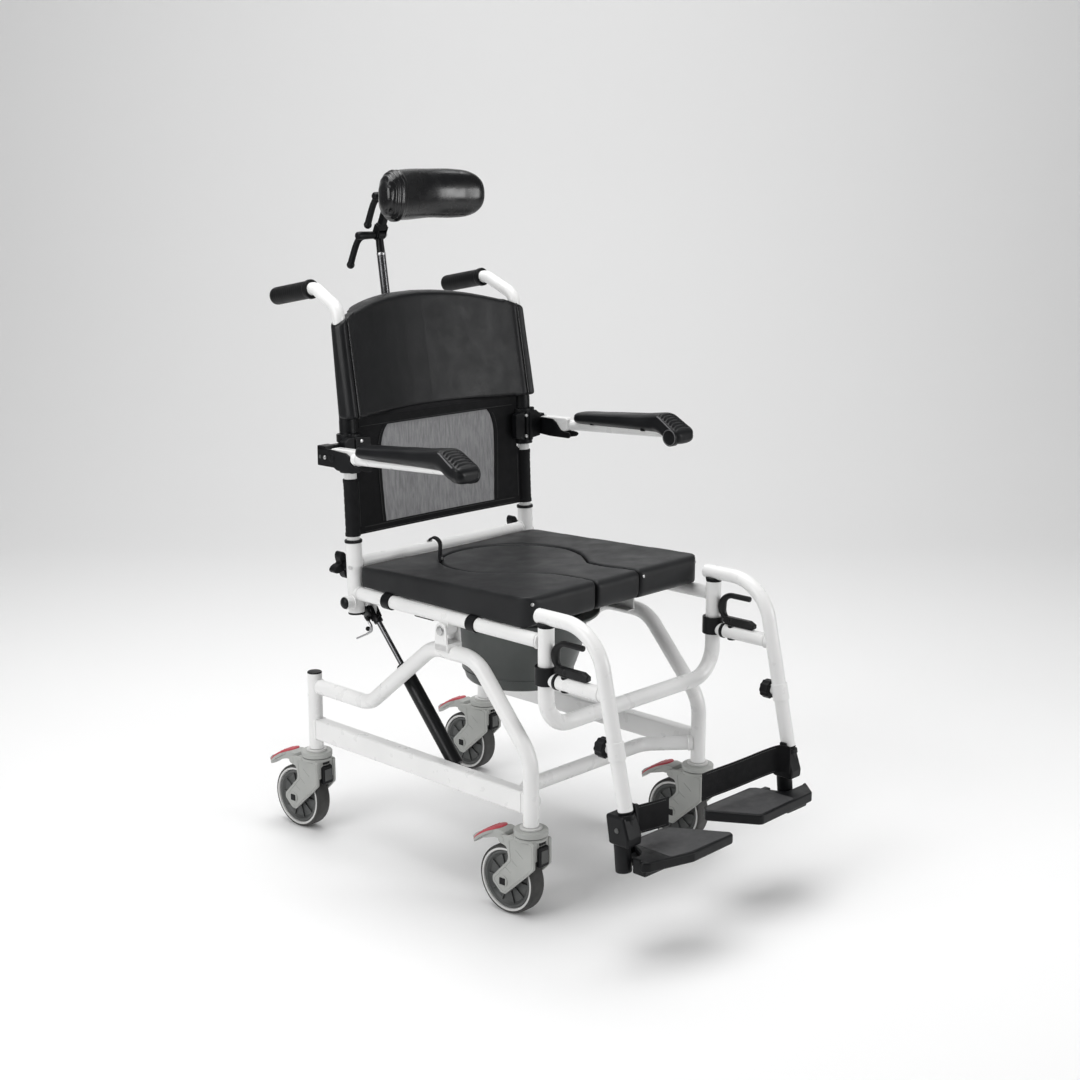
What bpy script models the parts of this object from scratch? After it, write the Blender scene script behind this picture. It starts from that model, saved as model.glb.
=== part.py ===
"""Tilting commode and shower chair on four casters.

Metres, +Z up. The chair faces -Y, the user's right side is -X, and the origin is on the floor
below the middle of the whole chair.
"""
import bpy
import bmesh
import math
from mathutils import Vector, Matrix

# ------------------------------------------------------------------ driving dimensions
Y_SHIFT = 0.0783            # from the base frame's middle to the middle of the whole chair
GAP = 0.0003                # between pieces that touch

WHEEL_R = 0.0625            # five inch caster wheel
WHEEL_W = 0.032
WHEEL_SIDES = 28
AXLE_Z = WHEEL_R * math.cos(math.pi / WHEEL_SIDES)
TRAIL = 0.0438              # from swivel axis to axle
SWIVEL = math.radians(3.0)  # how far the casters are turned
FORK_TOP = 0.168

SIDE_X = 0.2263             # plane of each side frame
POST_Y = 0.290              # caster posts, front and rear
POST_R = 0.014
REAR_POST_TOP = 0.321
RAIL_X0, RAIL_X1 = 0.2138, 0.2388
RAIL_Z0, RAIL_Z1 = 0.190, 0.229

PIVOT_Y, PIVOT_Z = -0.087, 0.479     # tilt axis

SEAT_RAIL_Z = 0.501
SEAT_RAIL_R = 0.0125
CANE_X = 0.2248
CANE_R = 0.0118
CANE_LEAN = 0.038           # run back for each metre of height, up to the bend
CANE_BEND = 0.830           # height of the bend
CANE_LEAN_UP = 0.110        # run back above the bend
SOCKET_R = 0.015
SOCKET_Z0, SOCKET_Z1 = 0.463, 0.597
LEG_X, LEG_Y = 0.2225, -0.322        # legs of the front U tube
LEG_R = 0.014
LEG_TOP = 0.528
U_BOTTOM_Z = 0.349

GAS_X = -0.190
GAS_LOW = (-0.080, 0.197)   # y, z of the lower pivot
GAS_HEAD = (0.158, 0.4605)  # y, z of the head pivot

HANGER_TOP_Z = 0.543
HANGER_X = 0.2222
HANGER_LOW = (-0.4966, 0.2684)
HANGER_CORNER_Y = -0.435
TUBE_LEAN = (HANGER_LOW[0] - HANGER_CORNER_Y) / (HANGER_LOW[1] - HANGER_TOP_Z)

PLATE_AXIS_X, PLATE_AXIS_Z = 0.184, 0.159

ARM_X = 0.280
ARM_PIVOT = (0.150, 0.761)

MAST_LEAN = 0.148
HEAD_LOW = (0.3385, 1.1385)
HEAD_UP = (0.305, 1.213)

# ------------------------------------------------------------------ scene and collections
for o in list(bpy.data.objects):
    bpy.data.objects.remove(o, do_unlink=True)
SCENE = bpy.context.scene
PARTS = bpy.data.collections.new("tilting_commode_chair")
CUTTERS = bpy.data.collections.new("cutters")
SCENE.collection.children.link(PARTS)
SCENE.collection.children.link(CUTTERS)


def material(name, rgb, rough, metal=0.0):
    m = bpy.data.materials.new(name)
    m.use_nodes = True
    b = m.node_tree.nodes["Principled BSDF"]
    b.inputs["Base Color"].default_value = (rgb[0], rgb[1], rgb[2], 1.0)
    b.inputs["Roughness"].default_value = rough
    b.inputs["Metallic"].default_value = metal
    return m


# ------------------------------------------------------------------ helpers
def link(ob, collection=None):
    for c in list(ob.users_collection):
        c.objects.unlink(ob)
    (collection or CUTTERS).objects.link(ob)
    if collection is None or collection is CUTTERS:
        ob.hide_render = True
        ob.display_type = 'WIRE'
    return ob


def from_bmesh(bm, name="piece"):
    bmesh.ops.recalc_face_normals(bm, faces=bm.faces[:])
    me = bpy.data.meshes.new(name)
    bm.to_mesh(me)
    bm.free()
    return link(bpy.data.objects.new(name, me))


def baked(ob, merge=0.00002, flat=False):
    """The object's evaluated mesh as a plain mesh object in world space."""
    bpy.context.view_layer.update()
    dg = bpy.context.evaluated_depsgraph_get()
    me = bpy.data.meshes.new_from_object(ob.evaluated_get(dg), depsgraph=dg)
    me.transform(ob.matrix_world)
    new = link(bpy.data.objects.new(ob.name + "_mesh", me))
    bpy.data.objects.remove(ob, do_unlink=True)
    bm = bmesh.new()
    bm.from_mesh(me)
    bmesh.ops.remove_doubles(bm, verts=bm.verts[:], dist=merge)
    if flat:
        bmesh.ops.dissolve_limit(bm, angle_limit=0.002, use_dissolve_boundaries=False,
                                 verts=bm.verts[:], edges=bm.edges[:], delimit={'NORMAL'})
    bmesh.ops.recalc_face_normals(bm, faces=bm.faces[:])
    bm.to_mesh(me)
    bm.free()
    return new


def box(x0, x1, y0, y1, z0, z1, bevel=0.0):
    x0, x1 = min(x0, x1), max(x0, x1)
    y0, y1 = min(y0, y1), max(y0, y1)
    bm = bmesh.new()
    bmesh.ops.create_cube(bm, size=1.0)
    bmesh.ops.scale(bm, verts=bm.verts[:], vec=(x1 - x0, y1 - y0, z1 - z0))
    bmesh.ops.translate(bm, verts=bm.verts[:], vec=((x0 + x1) / 2, (y0 + y1) / 2, (z0 + z1) / 2))
    if bevel:
        bmesh.ops.bevel(bm, geom=bm.edges[:], offset=bevel, segments=1, affect='EDGES')
    return from_bmesh(bm, "box")


def rod(p0, p1, r, sides=12, r2=None):
    """A cylinder, or a cone with r2, between two points."""
    p0, p1 = Vector(p0), Vector(p1)
    d = p1 - p0
    bm = bmesh.new()
    bmesh.ops.create_cone(bm, cap_ends=True, segments=sides, radius1=r,
                          radius2=r if r2 is None else r2, depth=d.length)
    q = Vector((0, 0, 1)).rotation_difference(d.normalized())
    bmesh.ops.rotate(bm, verts=bm.verts[:], cent=(0, 0, 0), matrix=q.to_matrix())
    bmesh.ops.translate(bm, verts=bm.verts[:], vec=(p0 + p1) / 2)
    return from_bmesh(bm, "rod")


def filleted(pts, radii, steps=4):
    """Corner points turned into a path whose corners are arcs of the given radii."""
    pts = [Vector(p) for p in pts]
    out = [pts[0]]
    for i in range(1, len(pts) - 1):
        r = radii[i - 1]
        a = (pts[i - 1] - pts[i]).normalized()
        b = (pts[i + 1] - pts[i]).normalized()
        half = a.angle(b) / 2
        if r <= 0 or half > math.radians(89.5):
            out.append(pts[i])
            continue
        tangent = r / math.tan(half)
        centre = pts[i] + (a + b).normalized() * (r / math.sin(half))
        s = pts[i] + a * tangent - centre
        e = pts[i] + b * tangent - centre
        sweep = s.angle(e)
        axis = s.cross(e).normalized()
        for k in range(steps + 1):
            out.append(centre + Matrix.Rotation(sweep * k / steps, 3, axis) @ s)
    out.append(pts[-1])
    return out


def tube(pts, r, radii=None, steps=4, resolution=4):
    """A round tube along a path: a curve with a bevel and filled caps, made a mesh."""
    path = filleted(pts, radii, steps) if radii else [Vector(p) for p in pts]
    cu = bpy.data.curves.new("tube", 'CURVE')
    cu.dimensions = '3D'
    cu.fill_mode = 'FULL'
    cu.bevel_depth = r
    cu.bevel_resolution = resolution
    cu.use_fill_caps = True
    sp = cu.splines.new('POLY')
    sp.points.add(len(path) - 1)
    for p, v in zip(sp.points, path):
        p.co = (v.x, v.y, v.z, 1.0)
    return baked(link(bpy.data.objects.new("tube", cu)))


def slab(outline, lo, hi, plane='XY'):
    """A flat outline with thickness: XY outlines rise along Z, YZ outlines run along X."""
    cu = bpy.data.curves.new("slab", 'CURVE')
    cu.dimensions = '2D'
    cu.fill_mode = 'BOTH'
    cu.extrude = abs(hi - lo) / 2
    sp = cu.splines.new('POLY')
    sp.points.add(len(outline) - 1)
    for p, v in zip(sp.points, outline):
        p.co = (v[0], v[1], 0.0, 1.0)
    sp.use_cyclic_u = True
    ob = link(bpy.data.objects.new("slab", cu))
    mid = (lo + hi) / 2
    if plane == 'XY':
        ob.matrix_world = Matrix.Translation((0, 0, mid))
    elif plane == 'YZ':
        ob.matrix_world = Matrix(((0, 0, 1, mid), (1, 0, 0, 0), (0, 1, 0, 0), (0, 0, 0, 1)))
    else:                                   # XZ outline with thickness along Y
        ob.matrix_world = Matrix(((1, 0, 0, 0), (0, 0, -1, mid), (0, 1, 0, 0), (0, 0, 0, 1)))
    return baked(ob, flat=True)


def turned(profile, steps, axis='Z', closed=True):
    """A profile of (radius, height) points turned by a Screw modifier about Z, or about X."""
    bm = bmesh.new()
    vs = [bm.verts.new((r, 0, h)) for r, h in profile]
    for a, b in zip(vs, vs[1:]):
        bm.edges.new((a, b))
    if closed:
        bm.edges.new((vs[-1], vs[0]))
    me = bpy.data.meshes.new("turned")
    bm.to_mesh(me)
    bm.free()
    ob = link(bpy.data.objects.new("turned", me))
    sc = ob.modifiers.new("Screw", 'SCREW')
    sc.axis = 'Z'
    sc.steps = steps
    sc.render_steps = steps
    sc.use_merge_vertices = True
    sc.merge_threshold = 0.00001
    if axis == 'X':
        ob.matrix_world = Matrix.Rotation(math.pi / 2, 4, 'Y')
    return baked(ob)


def boolean(target, others, operation):
    for o in others:
        mod = target.modifiers.new("Boolean", 'BOOLEAN')
        mod.operation = operation
        mod.solver = 'EXACT'
        mod.object = o
        target = baked(target, 0.000004)
        bpy.data.objects.remove(o, do_unlink=True)
    return target


def join(target, *others):
    return boolean(target, others, 'UNION')


def cut(target, *others):
    return boolean(target, others, 'DIFFERENCE')


def copy(ob):
    new = bpy.data.objects.new("copy", ob.data.copy())
    new.matrix_world = ob.matrix_world.copy()
    return link(new)


def moved(ob, matrix):
    ob.data.transform(matrix)
    return ob


def part(ob, name, mat, pivot=(0, 0, 0), smooth=True):
    """Names a finished piece, gives it its material and puts its origin on its joint axis."""
    pivot = Vector(pivot)
    ob.data.transform(Matrix.Translation(-pivot))
    ob.location = pivot + Vector((0, Y_SHIFT, 0))
    ob.name = name
    ob.data.name = name
    ob.data.materials.clear()
    ob.data.materials.append(mat)
    if smooth:
        ob.data.shade_smooth()
        ob.data.set_sharp_from_angle(angle=math.radians(35))
    link(ob, PARTS)
    ob.hide_render = False
    ob.display_type = 'TEXTURED'
    return ob


def cane_y(z):
    return 0.165 + (min(z, CANE_BEND) - 0.55) * CANE_LEAN + max(z - CANE_BEND, 0.0) * CANE_LEAN_UP


def circle(cy, cz, r, a0, a1, n):
    """Points on an arc, angles in degrees."""
    return [(cy + r * math.cos(math.radians(a0 + (a1 - a0) * k / n)),
             cz + r * math.sin(math.radians(a0 + (a1 - a0) * k / n))) for k in range(n + 1)]


WHITE = material("white_powder_coat", (0.86, 0.86, 0.85), 0.32)
BLACK = material("black_plastic", (0.022, 0.023, 0.025), 0.45)
PU = material("black_moulded_foam", (0.035, 0.036, 0.040), 0.42)
MESH = material("grey_mesh_fabric", (0.16, 0.16, 0.17), 0.85)
GREY = material("grey_caster_plastic", (0.36, 0.36, 0.34), 0.42)
RED = material("red_pedal_plastic", (0.50, 0.05, 0.08), 0.40)
TYRE = material("caster_tyre", (0.20, 0.20, 0.20), 0.60)
PAN = material("grey_pan_plastic", (0.10, 0.12, 0.115), 0.35)
CHROME = material("polished_rod", (0.70, 0.70, 0.72), 0.15, 1.0)
STEEL = material("satin_steel", (0.45, 0.45, 0.46), 0.35, 1.0)

SIDES = (("right", -1), ("left", 1))

# ------------------------------------------------------------------ base frame
stem_hole = 0.0062
for side, s in SIDES:
    sx = s * SIDE_X
    # bottom rail with the rear post
    rail = box(s * RAIL_X0, s * RAIL_X1, -0.290, POST_Y, RAIL_Z0, RAIL_Z1)
    post = rod((sx, POST_Y, FORK_TOP + GAP), (sx, POST_Y, REAR_POST_TOP), POST_R, 14)
    rail = join(rail, post)
    tools = [rod((sx, -POST_Y, 0.15), (sx, -POST_Y, 0.27), POST_R + GAP + 0.0004, 14),
             box(s * 0.20, s * 0.25, -0.32, -POST_Y, 0.17, 0.25),
             rod((sx, POST_Y, 0.15), (sx, POST_Y, 0.201), stem_hole, 10)]
    rail = cut(rail, *tools)
    if s < 0:
        ly, lz = GAS_LOW
        rail = join(rail, rod((-0.216, ly, lz), (-0.1985, ly, lz), 0.0065, 10),
                    rod((-0.2, ly, lz), (-0.1815, ly, lz), 0.004, 10))
    part(rail, "side_rail_" + side, WHITE)

    # front post, rise, hump and low rear run
    path = [(sx, POST_Y, 0.294), (sx, 0.128, 0.294), (sx, -0.048, 0.438), (sx, -0.158, 0.438),
            (sx, -POST_Y, 0.290), (sx, -POST_Y, FORK_TOP + GAP)]
    bent = tube(path, POST_R, (0.060, 0.070, 0.070, 0.080), 3, 3)
    block = box(s * 0.2083, s * 0.2443, -0.104, -0.070, 0.437, 0.4565)
    outer = box(s * 0.2403, s * 0.2443, -0.100, -0.074, 0.445, 0.4905)
    inner = box(s * 0.2083, s * 0.2123, -0.100, -0.074, 0.445, 0.4905)
    bolt = rod((s * 0.2045, PIVOT_Y, PIVOT_Z), (s * 0.2480, PIVOT_Y, PIVOT_Z), 0.004, 10)
    head = rod((s * 0.2440, PIVOT_Y, PIVOT_Z), (s * 0.2485, PIVOT_Y, PIVOT_Z), 0.0075, 10)
    nut = rod((s * 0.2040, PIVOT_Y, PIVOT_Z), (s * 0.2087, PIVOT_Y, PIVOT_Z), 0.0075, 6)
    bent = join(bent, block, outer, inner, bolt, head, nut)
    bent = cut(bent, rod((sx, POST_Y, 0.26), (sx, POST_Y, 0.33), POST_R + GAP + 0.0004, 14),
               rod((sx, -POST_Y, 0.15), (sx, -POST_Y, 0.201), stem_hole, 10))
    part(bent, "bent_tube_" + side, WHITE)

bar = tube([(-SIDE_X, -0.299, 0.2075), (-0.160, -0.210, 0.200), (0.160, -0.210, 0.200),
            (SIDE_X, -0.299, 0.2075)], 0.0135, (0.045, 0.045), 3, 3)
tools = []
for s in (-1, 1):
    tools.append(rod((s * SIDE_X, -POST_Y, 0.15), (s * SIDE_X, -POST_Y, 0.27), POST_R + GAP, 16))
    tools.append(box(s * (RAIL_X0 - GAP), s * 0.26, -0.33, -0.10, 0.17, 0.25))
bar = cut(bar, *tools)
part(bar, "front_crossbar", WHITE)

# ------------------------------------------------------------------ casters
CORNERS = (("front_right", -1, -1), ("front_left", 1, -1), ("rear_right", -1, 1), ("rear_left", 1, 1))
PED_Y, PED_Z = 0.048, 0.1375


def make_fork():
    """Swivel head in its own frame: swivel axis on Z, wheel trailing towards +Y."""
    collar = rod((0, 0, 0.146), (0, 0, FORK_TOP - GAP), 0.030, 16)
    bridge = box(-0.0238, 0.0238, -0.0235, 0.034, 0.1290, 0.1485)
    cheek = [(-0.026, 0.148), (-0.026, 0.100), (-0.0103, 0.084), (0.0402, 0.0380), (0.0700, 0.0640),
             (0.0310, 0.106), (0.036, 0.128), (0.050, 0.131), (0.056, 0.138), (0.050, 0.1445),
             (0.036, 0.148)]
    left = cut(slab(cheek, 0.0185, 0.0245, 'YZ'), rod((0.01, PED_Y, PED_Z), (0.03, PED_Y, PED_Z), 0.0031, 8))
    right = cut(slab(cheek, -0.0245, -0.0185, 'YZ'), rod((-0.03, PED_Y, PED_Z), (-0.01, PED_Y, PED_Z), 0.0031, 8))
    heads = [rod((s * 0.0220, TRAIL, AXLE_Z), (s * 0.0275, TRAIL, AXLE_Z), 0.0085, 6) for s in (-1, 1)]
    spindle = rod((-0.0200, TRAIL, AXLE_Z), (0.0200, TRAIL, AXLE_Z), 0.0060, 10)
    stem = rod((0, 0, 0.160), (0, 0, 0.198), 0.0055, 8)
    front = box(-0.0130, 0.0130, -0.0315, -0.0205, 0.100, 0.1380)
    web = box(-0.0210, 0.0210, -0.0250, -0.0210, 0.112, 0.1475)
    return join(collar, bridge, left, right, heads[0], heads[1], spindle, stem, web, front)


def make_pedal():
    """Brake pedal with its pin across the fork's ears."""
    outline = [(PED_Y - 0.0035, 0.1335), (0.070, 0.1340), (0.080, 0.1490), (0.060, 0.1520),
               (PED_Y - 0.0005, 0.1500), (PED_Y - 0.0045, 0.1440)]
    body = slab(outline, -0.0178, 0.0178, 'YZ')
    wide = slab([(0.062, 0.1350), (0.090, 0.1275), (0.1235, 0.1182), (0.1285, 0.1206), (0.1252, 0.1280),
                 (0.106, 0.1402), (0.079, 0.1490), (0.062, 0.1515)], -0.0220, 0.0220, 'YZ')
    pin = rod((-0.0240, PED_Y, PED_Z), (0.0240, PED_Y, PED_Z), 0.0026, 8)
    return join(body, wide, pin)


def make_wheel():
    """Wheel on the X axis: bore, hub, web, light ring and tyre in one turned profile."""
    h = WHEEL_W / 2
    profile = [(0.0064, -0.0140), (0.0430, -0.0100), (0.0462, -h), (0.0570, -h), (WHEEL_R, -0.0105),
               (WHEEL_R, 0.0105), (0.0570, h), (0.0462, h), (0.0430, 0.0100), (0.0064, 0.0140)]
    w = turned(profile[::-1], WHEEL_SIDES, 'X')
    return moved(w, Matrix.Rotation(math.pi / WHEEL_SIDES, 4, 'X'))


FORK, PEDAL, WHEEL = make_fork(), make_pedal(), make_wheel()
for name, sx, sy in CORNERS:
    place = Matrix.Translation((sx * SIDE_X, sy * POST_Y, 0)) @ Matrix.Rotation(SWIVEL, 4, 'Z')
    post = Vector((sx * SIDE_X, sy * POST_Y, 0))
    part(moved(copy(FORK), place), "fork_" + name, GREY, post)
    axle = place @ Vector((0, TRAIL, AXLE_Z))
    wheel = moved(copy(WHEEL), Matrix.Translation(axle) @ Matrix.Rotation(SWIVEL, 4, 'Z'))
    part(wheel, "wheel_" + name, TYRE, axle)
    part(moved(copy(PEDAL), place), "pedal_" + name, RED, place @ Vector((0, PED_Y, PED_Z)))
for o in (FORK, PEDAL, WHEEL):
    bpy.data.objects.remove(o, do_unlink=True)

# ------------------------------------------------------------------ seat frame
TILT = (0, PIVOT_Y, PIVOT_Z)
for side, s in SIDES:
    sx = s * SIDE_X
    cx = s * CANE_X
    rail = rod((sx, cane_y(SEAT_RAIL_Z), SEAT_RAIL_Z), (sx, LEG_Y, SEAT_RAIL_Z), SEAT_RAIL_R, 12)
    socket = rod((cx, cane_y(SOCKET_Z0), SOCKET_Z0), (cx, cane_y(SOCKET_Z1), SOCKET_Z1), SOCKET_R, 14)
    stub = rod((s * 0.220, 0.1595, 0.486), (s * 0.256, 0.1595, 0.486), SEAT_RAIL_R, 12)
    lug = rod((s * 0.2145, PIVOT_Y, PIVOT_Z), (s * 0.2381, PIVOT_Y, PIVOT_Z), 0.0105, 12)
    neck = box(s * 0.2145, s * 0.2381, PIVOT_Y - 0.0102, PIVOT_Y + 0.0102, PIVOT_Z, 0.500)
    web = box(s * 0.1503, s * 0.1535, -0.190, 0.130, 0.4587, 0.4932)
    flange = box(s * 0.1360, s * 0.1519, -0.189, 0.129, 0.4592, 0.4622)
    arm_a = box(s * 0.1518, s * 0.222, 0.070, 0.092, 0.4880, 0.4940)
    arm_b = box(s * 0.1518, s * 0.222, -0.166, -0.144, 0.4880, 0.4940)
    rail = join(rail, socket, stub, lug, neck, arm_a, arm_b, web, flange)
    bore = rod((cx, cane_y(0.502), 0.502), (cx, cane_y(0.62), 0.62), CANE_R + 0.0005, 14)
    leg = rod((s * LEG_X, LEG_Y, 0.40), (s * LEG_X, LEG_Y, 0.56), LEG_R + GAP + 0.0003, 14)
    tail = box(s * 0.20, s * 0.25, -0.35, LEG_Y, 0.48, 0.52)
    hole = rod((s * 0.205, PIVOT_Y, PIVOT_Z), (s * 0.25, PIVOT_Y, PIVOT_Z), 0.0044, 10)
    stud = rod((cx, 0.170, 0.547), (cx, 0.200, 0.547), 0.0034, 8)
    rail = cut(rail, bore, leg, tail, hole, stud)
    part(rail, "seat_rail_" + side, WHITE, TILT)

hy, hz = GAS_HEAD
cross = rod((-0.216, 0.1595, 0.486), (0.216, 0.1595, 0.486), SEAT_RAIL_R, 12)
tab = box(GAS_X - 0.0025, GAS_X + 0.0025, hy - 0.0094, hy + 0.0094, hz, 0.482)
eye = rod((GAS_X - 0.0024, hy, hz), (GAS_X + 0.0024, hy, hz), 0.0095, 16)
cross = join(cross, tab, eye)
cross = cut(cross, rod((-CANE_X, cane_y(0.45), 0.45), (-CANE_X, cane_y(0.53), 0.53), SOCKET_R + 0.0006, 14),
            rod((CANE_X, cane_y(0.45), 0.45), (CANE_X, cane_y(0.53), 0.53), SOCKET_R + 0.0006, 14),
            box(-0.27, -0.2265, 0.10, 0.22, 0.44, 0.53), box(0.2265, 0.27, 0.10, 0.22, 0.44, 0.53),
            rod((GAS_X - 0.01, hy, hz), (GAS_X + 0.01, hy, hz), 0.0058, 12))
part(cross, "rear_cross_tube", WHITE, TILT)

upper = rod((-0.216, cane_y(0.556) + 0.001, 0.556), (0.216, cane_y(0.556) + 0.001, 0.556), 0.011, 12)
upper = cut(upper, rod((-CANE_X, cane_y(0.50), 0.50), (-CANE_X, cane_y(0.61), 0.61), SOCKET_R + 0.0006, 14),
            rod((CANE_X, cane_y(0.50), 0.50), (CANE_X, cane_y(0.61), 0.61), SOCKET_R + 0.0006, 14))
part(upper, "upper_cross_tube", WHITE, TILT)

u = tube([(-LEG_X, LEG_Y, LEG_TOP), (-LEG_X, LEG_Y, U_BOTTOM_Z), (LEG_X, LEG_Y, U_BOTTOM_Z),
          (LEG_X, LEG_Y, LEG_TOP)], LEG_R, (0.055, 0.055), 4, 3)
u = cut(u, rod((-LEG_X, LEG_Y, 0.468), (-LEG_X, LEG_Y, 0.56), 0.0086, 12),
        rod((LEG_X, LEG_Y, 0.468), (LEG_X, LEG_Y, 0.56), 0.0086, 12))
part(u, "front_u_tube", WHITE, TILT)

# ------------------------------------------------------------------ seat pad, infill and pan
PAD_X, PAD_REAR, PAD_FRONT, PAD_Z0 = 0.229, 0.149, -0.288, 0.5140
PAD_TOP_REAR, PAD_TOP_FRONT = 0.5538, 0.5700


def slot_outline(grow):
    """Keyhole in the seat, open to the front; grow > 0 makes it smaller all round."""
    right = [(0.086, -0.300), (0.080, -0.286), (0.058, -0.255), (0.053, -0.215), (0.056, -0.170),
             (0.080, -0.120), (0.112, -0.065), (0.126, -0.010), (0.118, 0.050), (0.085, 0.096),
             (0.040, 0.116)]
    right = [(x - grow, y - (grow if y > 0.09 else 0)) for x, y in right]
    return right + [(-x, y) for x, y in right[::-1]]


def top_wedge():
    """What lies above the sloping seat top."""
    a, b = PAD_REAR + 0.02, PAD_FRONT - 0.02
    slope = (PAD_TOP_FRONT - PAD_TOP_REAR) / (PAD_FRONT - PAD_REAR)
    za = PAD_TOP_REAR + (a - PAD_REAR) * slope
    zb = PAD_TOP_REAR + (b - PAD_REAR) * slope
    return slab([(a, za), (a, 0.62), (b, 0.62), (b, zb)], -0.26, 0.26, 'YZ')


outline = [(-PAD_X + 0.012, PAD_REAR), (-PAD_X, PAD_REAR - 0.012), (-PAD_X, PAD_FRONT + 0.035),
           (-PAD_X + 0.010, PAD_FRONT + 0.010), (-PAD_X + 0.035, PAD_FRONT)]
outline = outline + [(-x, y) for x, y in outline[::-1]]
pad = slab(outline, PAD_Z0, 0.60)
nose = slab([(PAD_FRONT - 0.01, 0.5300), (PAD_FRONT, 0.5300), (PAD_FRONT + 0.006, 0.518),
             (PAD_FRONT + 0.022, PAD_Z0 - 0.001), (PAD_FRONT - 0.01, PAD_Z0 - 0.001)], -0.26, 0.26, 'YZ')
brow = slab([(PAD_FRONT - 0.01, 0.556), (PAD_FRONT, 0.556), (PAD_FRONT + 0.006, 0.566),
             (PAD_FRONT + 0.018, 0.5710), (PAD_FRONT - 0.01, 0.58)], -0.26, 0.26, 'YZ')
shape = cut(pad, top_wedge(), nose, brow)
infill = boolean(copy(shape), [slab(slot_outline(0.0011), PAD_Z0 + 0.0015, 0.60)], 'INTERSECT')
pad = cut(shape, slab(slot_outline(0.0), 0.48, 0.60))
part(pad, "seat_pad", PU, (0, 0, PAD_Z0))
part(infill, "seat_infill", PU, (0, 0, PAD_Z0))

PAN_Y = -0.035
profile = [(0.0, 0.3330), (0.0835, 0.3330), (0.0930, 0.3440), (0.1130, 0.4010), (0.1220, 0.4680),
           (0.1470, 0.4680), (0.1470, 0.4634), (0.1255, 0.4634), (0.1160, 0.4000), (0.0960, 0.3420),
           (0.0860, 0.3300), (0.0, 0.3300)]
pan = turned(profile, 24, closed=False)
pan = moved(pan, Matrix.Translation((0, PAN_Y, 0)) @ Matrix.Diagonal((1, 1.08, 1, 1)))
part(pan, "commode_pan", PAN, (0, PAN_Y, 0.468))

# ------------------------------------------------------------------ gas spring
LOW = Vector((GAS_X, GAS_LOW[0], GAS_LOW[1]))
HEAD = Vector((GAS_X, hy, hz))
AX = (HEAD - LOW).normalized()
GAS_LEN = (HEAD - LOW).length


def along(d):
    return LOW + AX * d


eye = rod(LOW + Vector((-0.0060, 0, 0)), LOW + Vector((0.0060, 0, 0)), 0.0105, 14)
cyl = rod(along(0.0065), along(0.024), 0.0070, 12)
body = rod(along(0.020), along(0.232), 0.0140, 14)
ring = rod(along(0.228), along(0.2352), 0.0105, 12)
cyl = join(cyl, eye, body, ring)
cyl = cut(cyl, rod(LOW + Vector((-0.02, 0, 0)), LOW + Vector((0.02, 0, 0)), 0.0045, 12),
          rod(along(0.118), along(0.26), 0.0048, 12))
part(cyl, "gas_cylinder", BLACK, LOW)

rodp = rod(along(0.215), along(GAS_LEN - 0.015), 0.0040, 12)
neck = rod(along(GAS_LEN - 0.026), along(GAS_LEN - 0.0145), 0.0085, 12)
cheek_l = rod(HEAD + Vector((0.0036, 0, 0)), HEAD + Vector((0.0076, 0, 0)), 0.0100, 14)
cheek_r = rod(HEAD + Vector((-0.0036, 0, 0)), HEAD + Vector((-0.0076, 0, 0)), 0.0100, 14)
perp = Vector((0, AX.z, -AX.y))
jaw = []
for x0, x1 in ((0.0038, 0.0074), (-0.0074, -0.0038)):
    pts = [HEAD - AX * 0.0185 + perp * 0.0075, HEAD + perp * 0.0092, HEAD - perp * 0.0092,
           HEAD - AX * 0.0185 - perp * 0.0075]
    jaw.append(slab([(p.y, p.z) for p in pts], GAS_X + x0, GAS_X + x1, 'YZ'))
pin = rod(HEAD + Vector((0.0060, 0, 0)), HEAD + Vector((-0.0128, 0, 0)), 0.0030, 10)
rodp = join(rodp, neck, cheek_l, cheek_r, jaw[0], jaw[1], pin)
part(rodp, "gas_rod", CHROME, HEAD)

lever_x = GAS_X - 0.0102
hub = rod((lever_x - 0.0022, hy, hz), (lever_x + 0.0022, hy, hz), 0.0070, 12)
arm = tube([(lever_x, hy + 0.002, hz - 0.0045), (lever_x, 0.1700, 0.4440), (lever_x, 0.1700, 0.4290),
            (lever_x, 0.1650, 0.4230), (lever_x, 0.1750, 0.4160), (lever_x, 0.2040, 0.3990)],
           0.0020, None, 4, 2)
lever = join(hub, arm)
lever = cut(lever, rod((lever_x - 0.01, hy, hz), (lever_x + 0.0062, hy, hz), 0.0034, 10))
part(lever, "release_lever", STEEL, (lever_x, hy, hz))

# ------------------------------------------------------------------ back: canes, grips, pad, mesh
GRIP_X = 0.2175


def cane_path(s):
    return [(s * CANE_X, cane_y(0.5035), 0.5035), (s * CANE_X, cane_y(CANE_BEND), CANE_BEND),
            (s * 0.2240, cane_y(1.0195), 1.0195), (s * GRIP_X, 0.2660, 1.0525), (s * GRIP_X, 0.3800, 1.0319)]


def cane_tube(s, r, resolution=4):
    return tube(cane_path(s), r, (0.0, 0.030, 0.030), 3, resolution)


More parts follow.
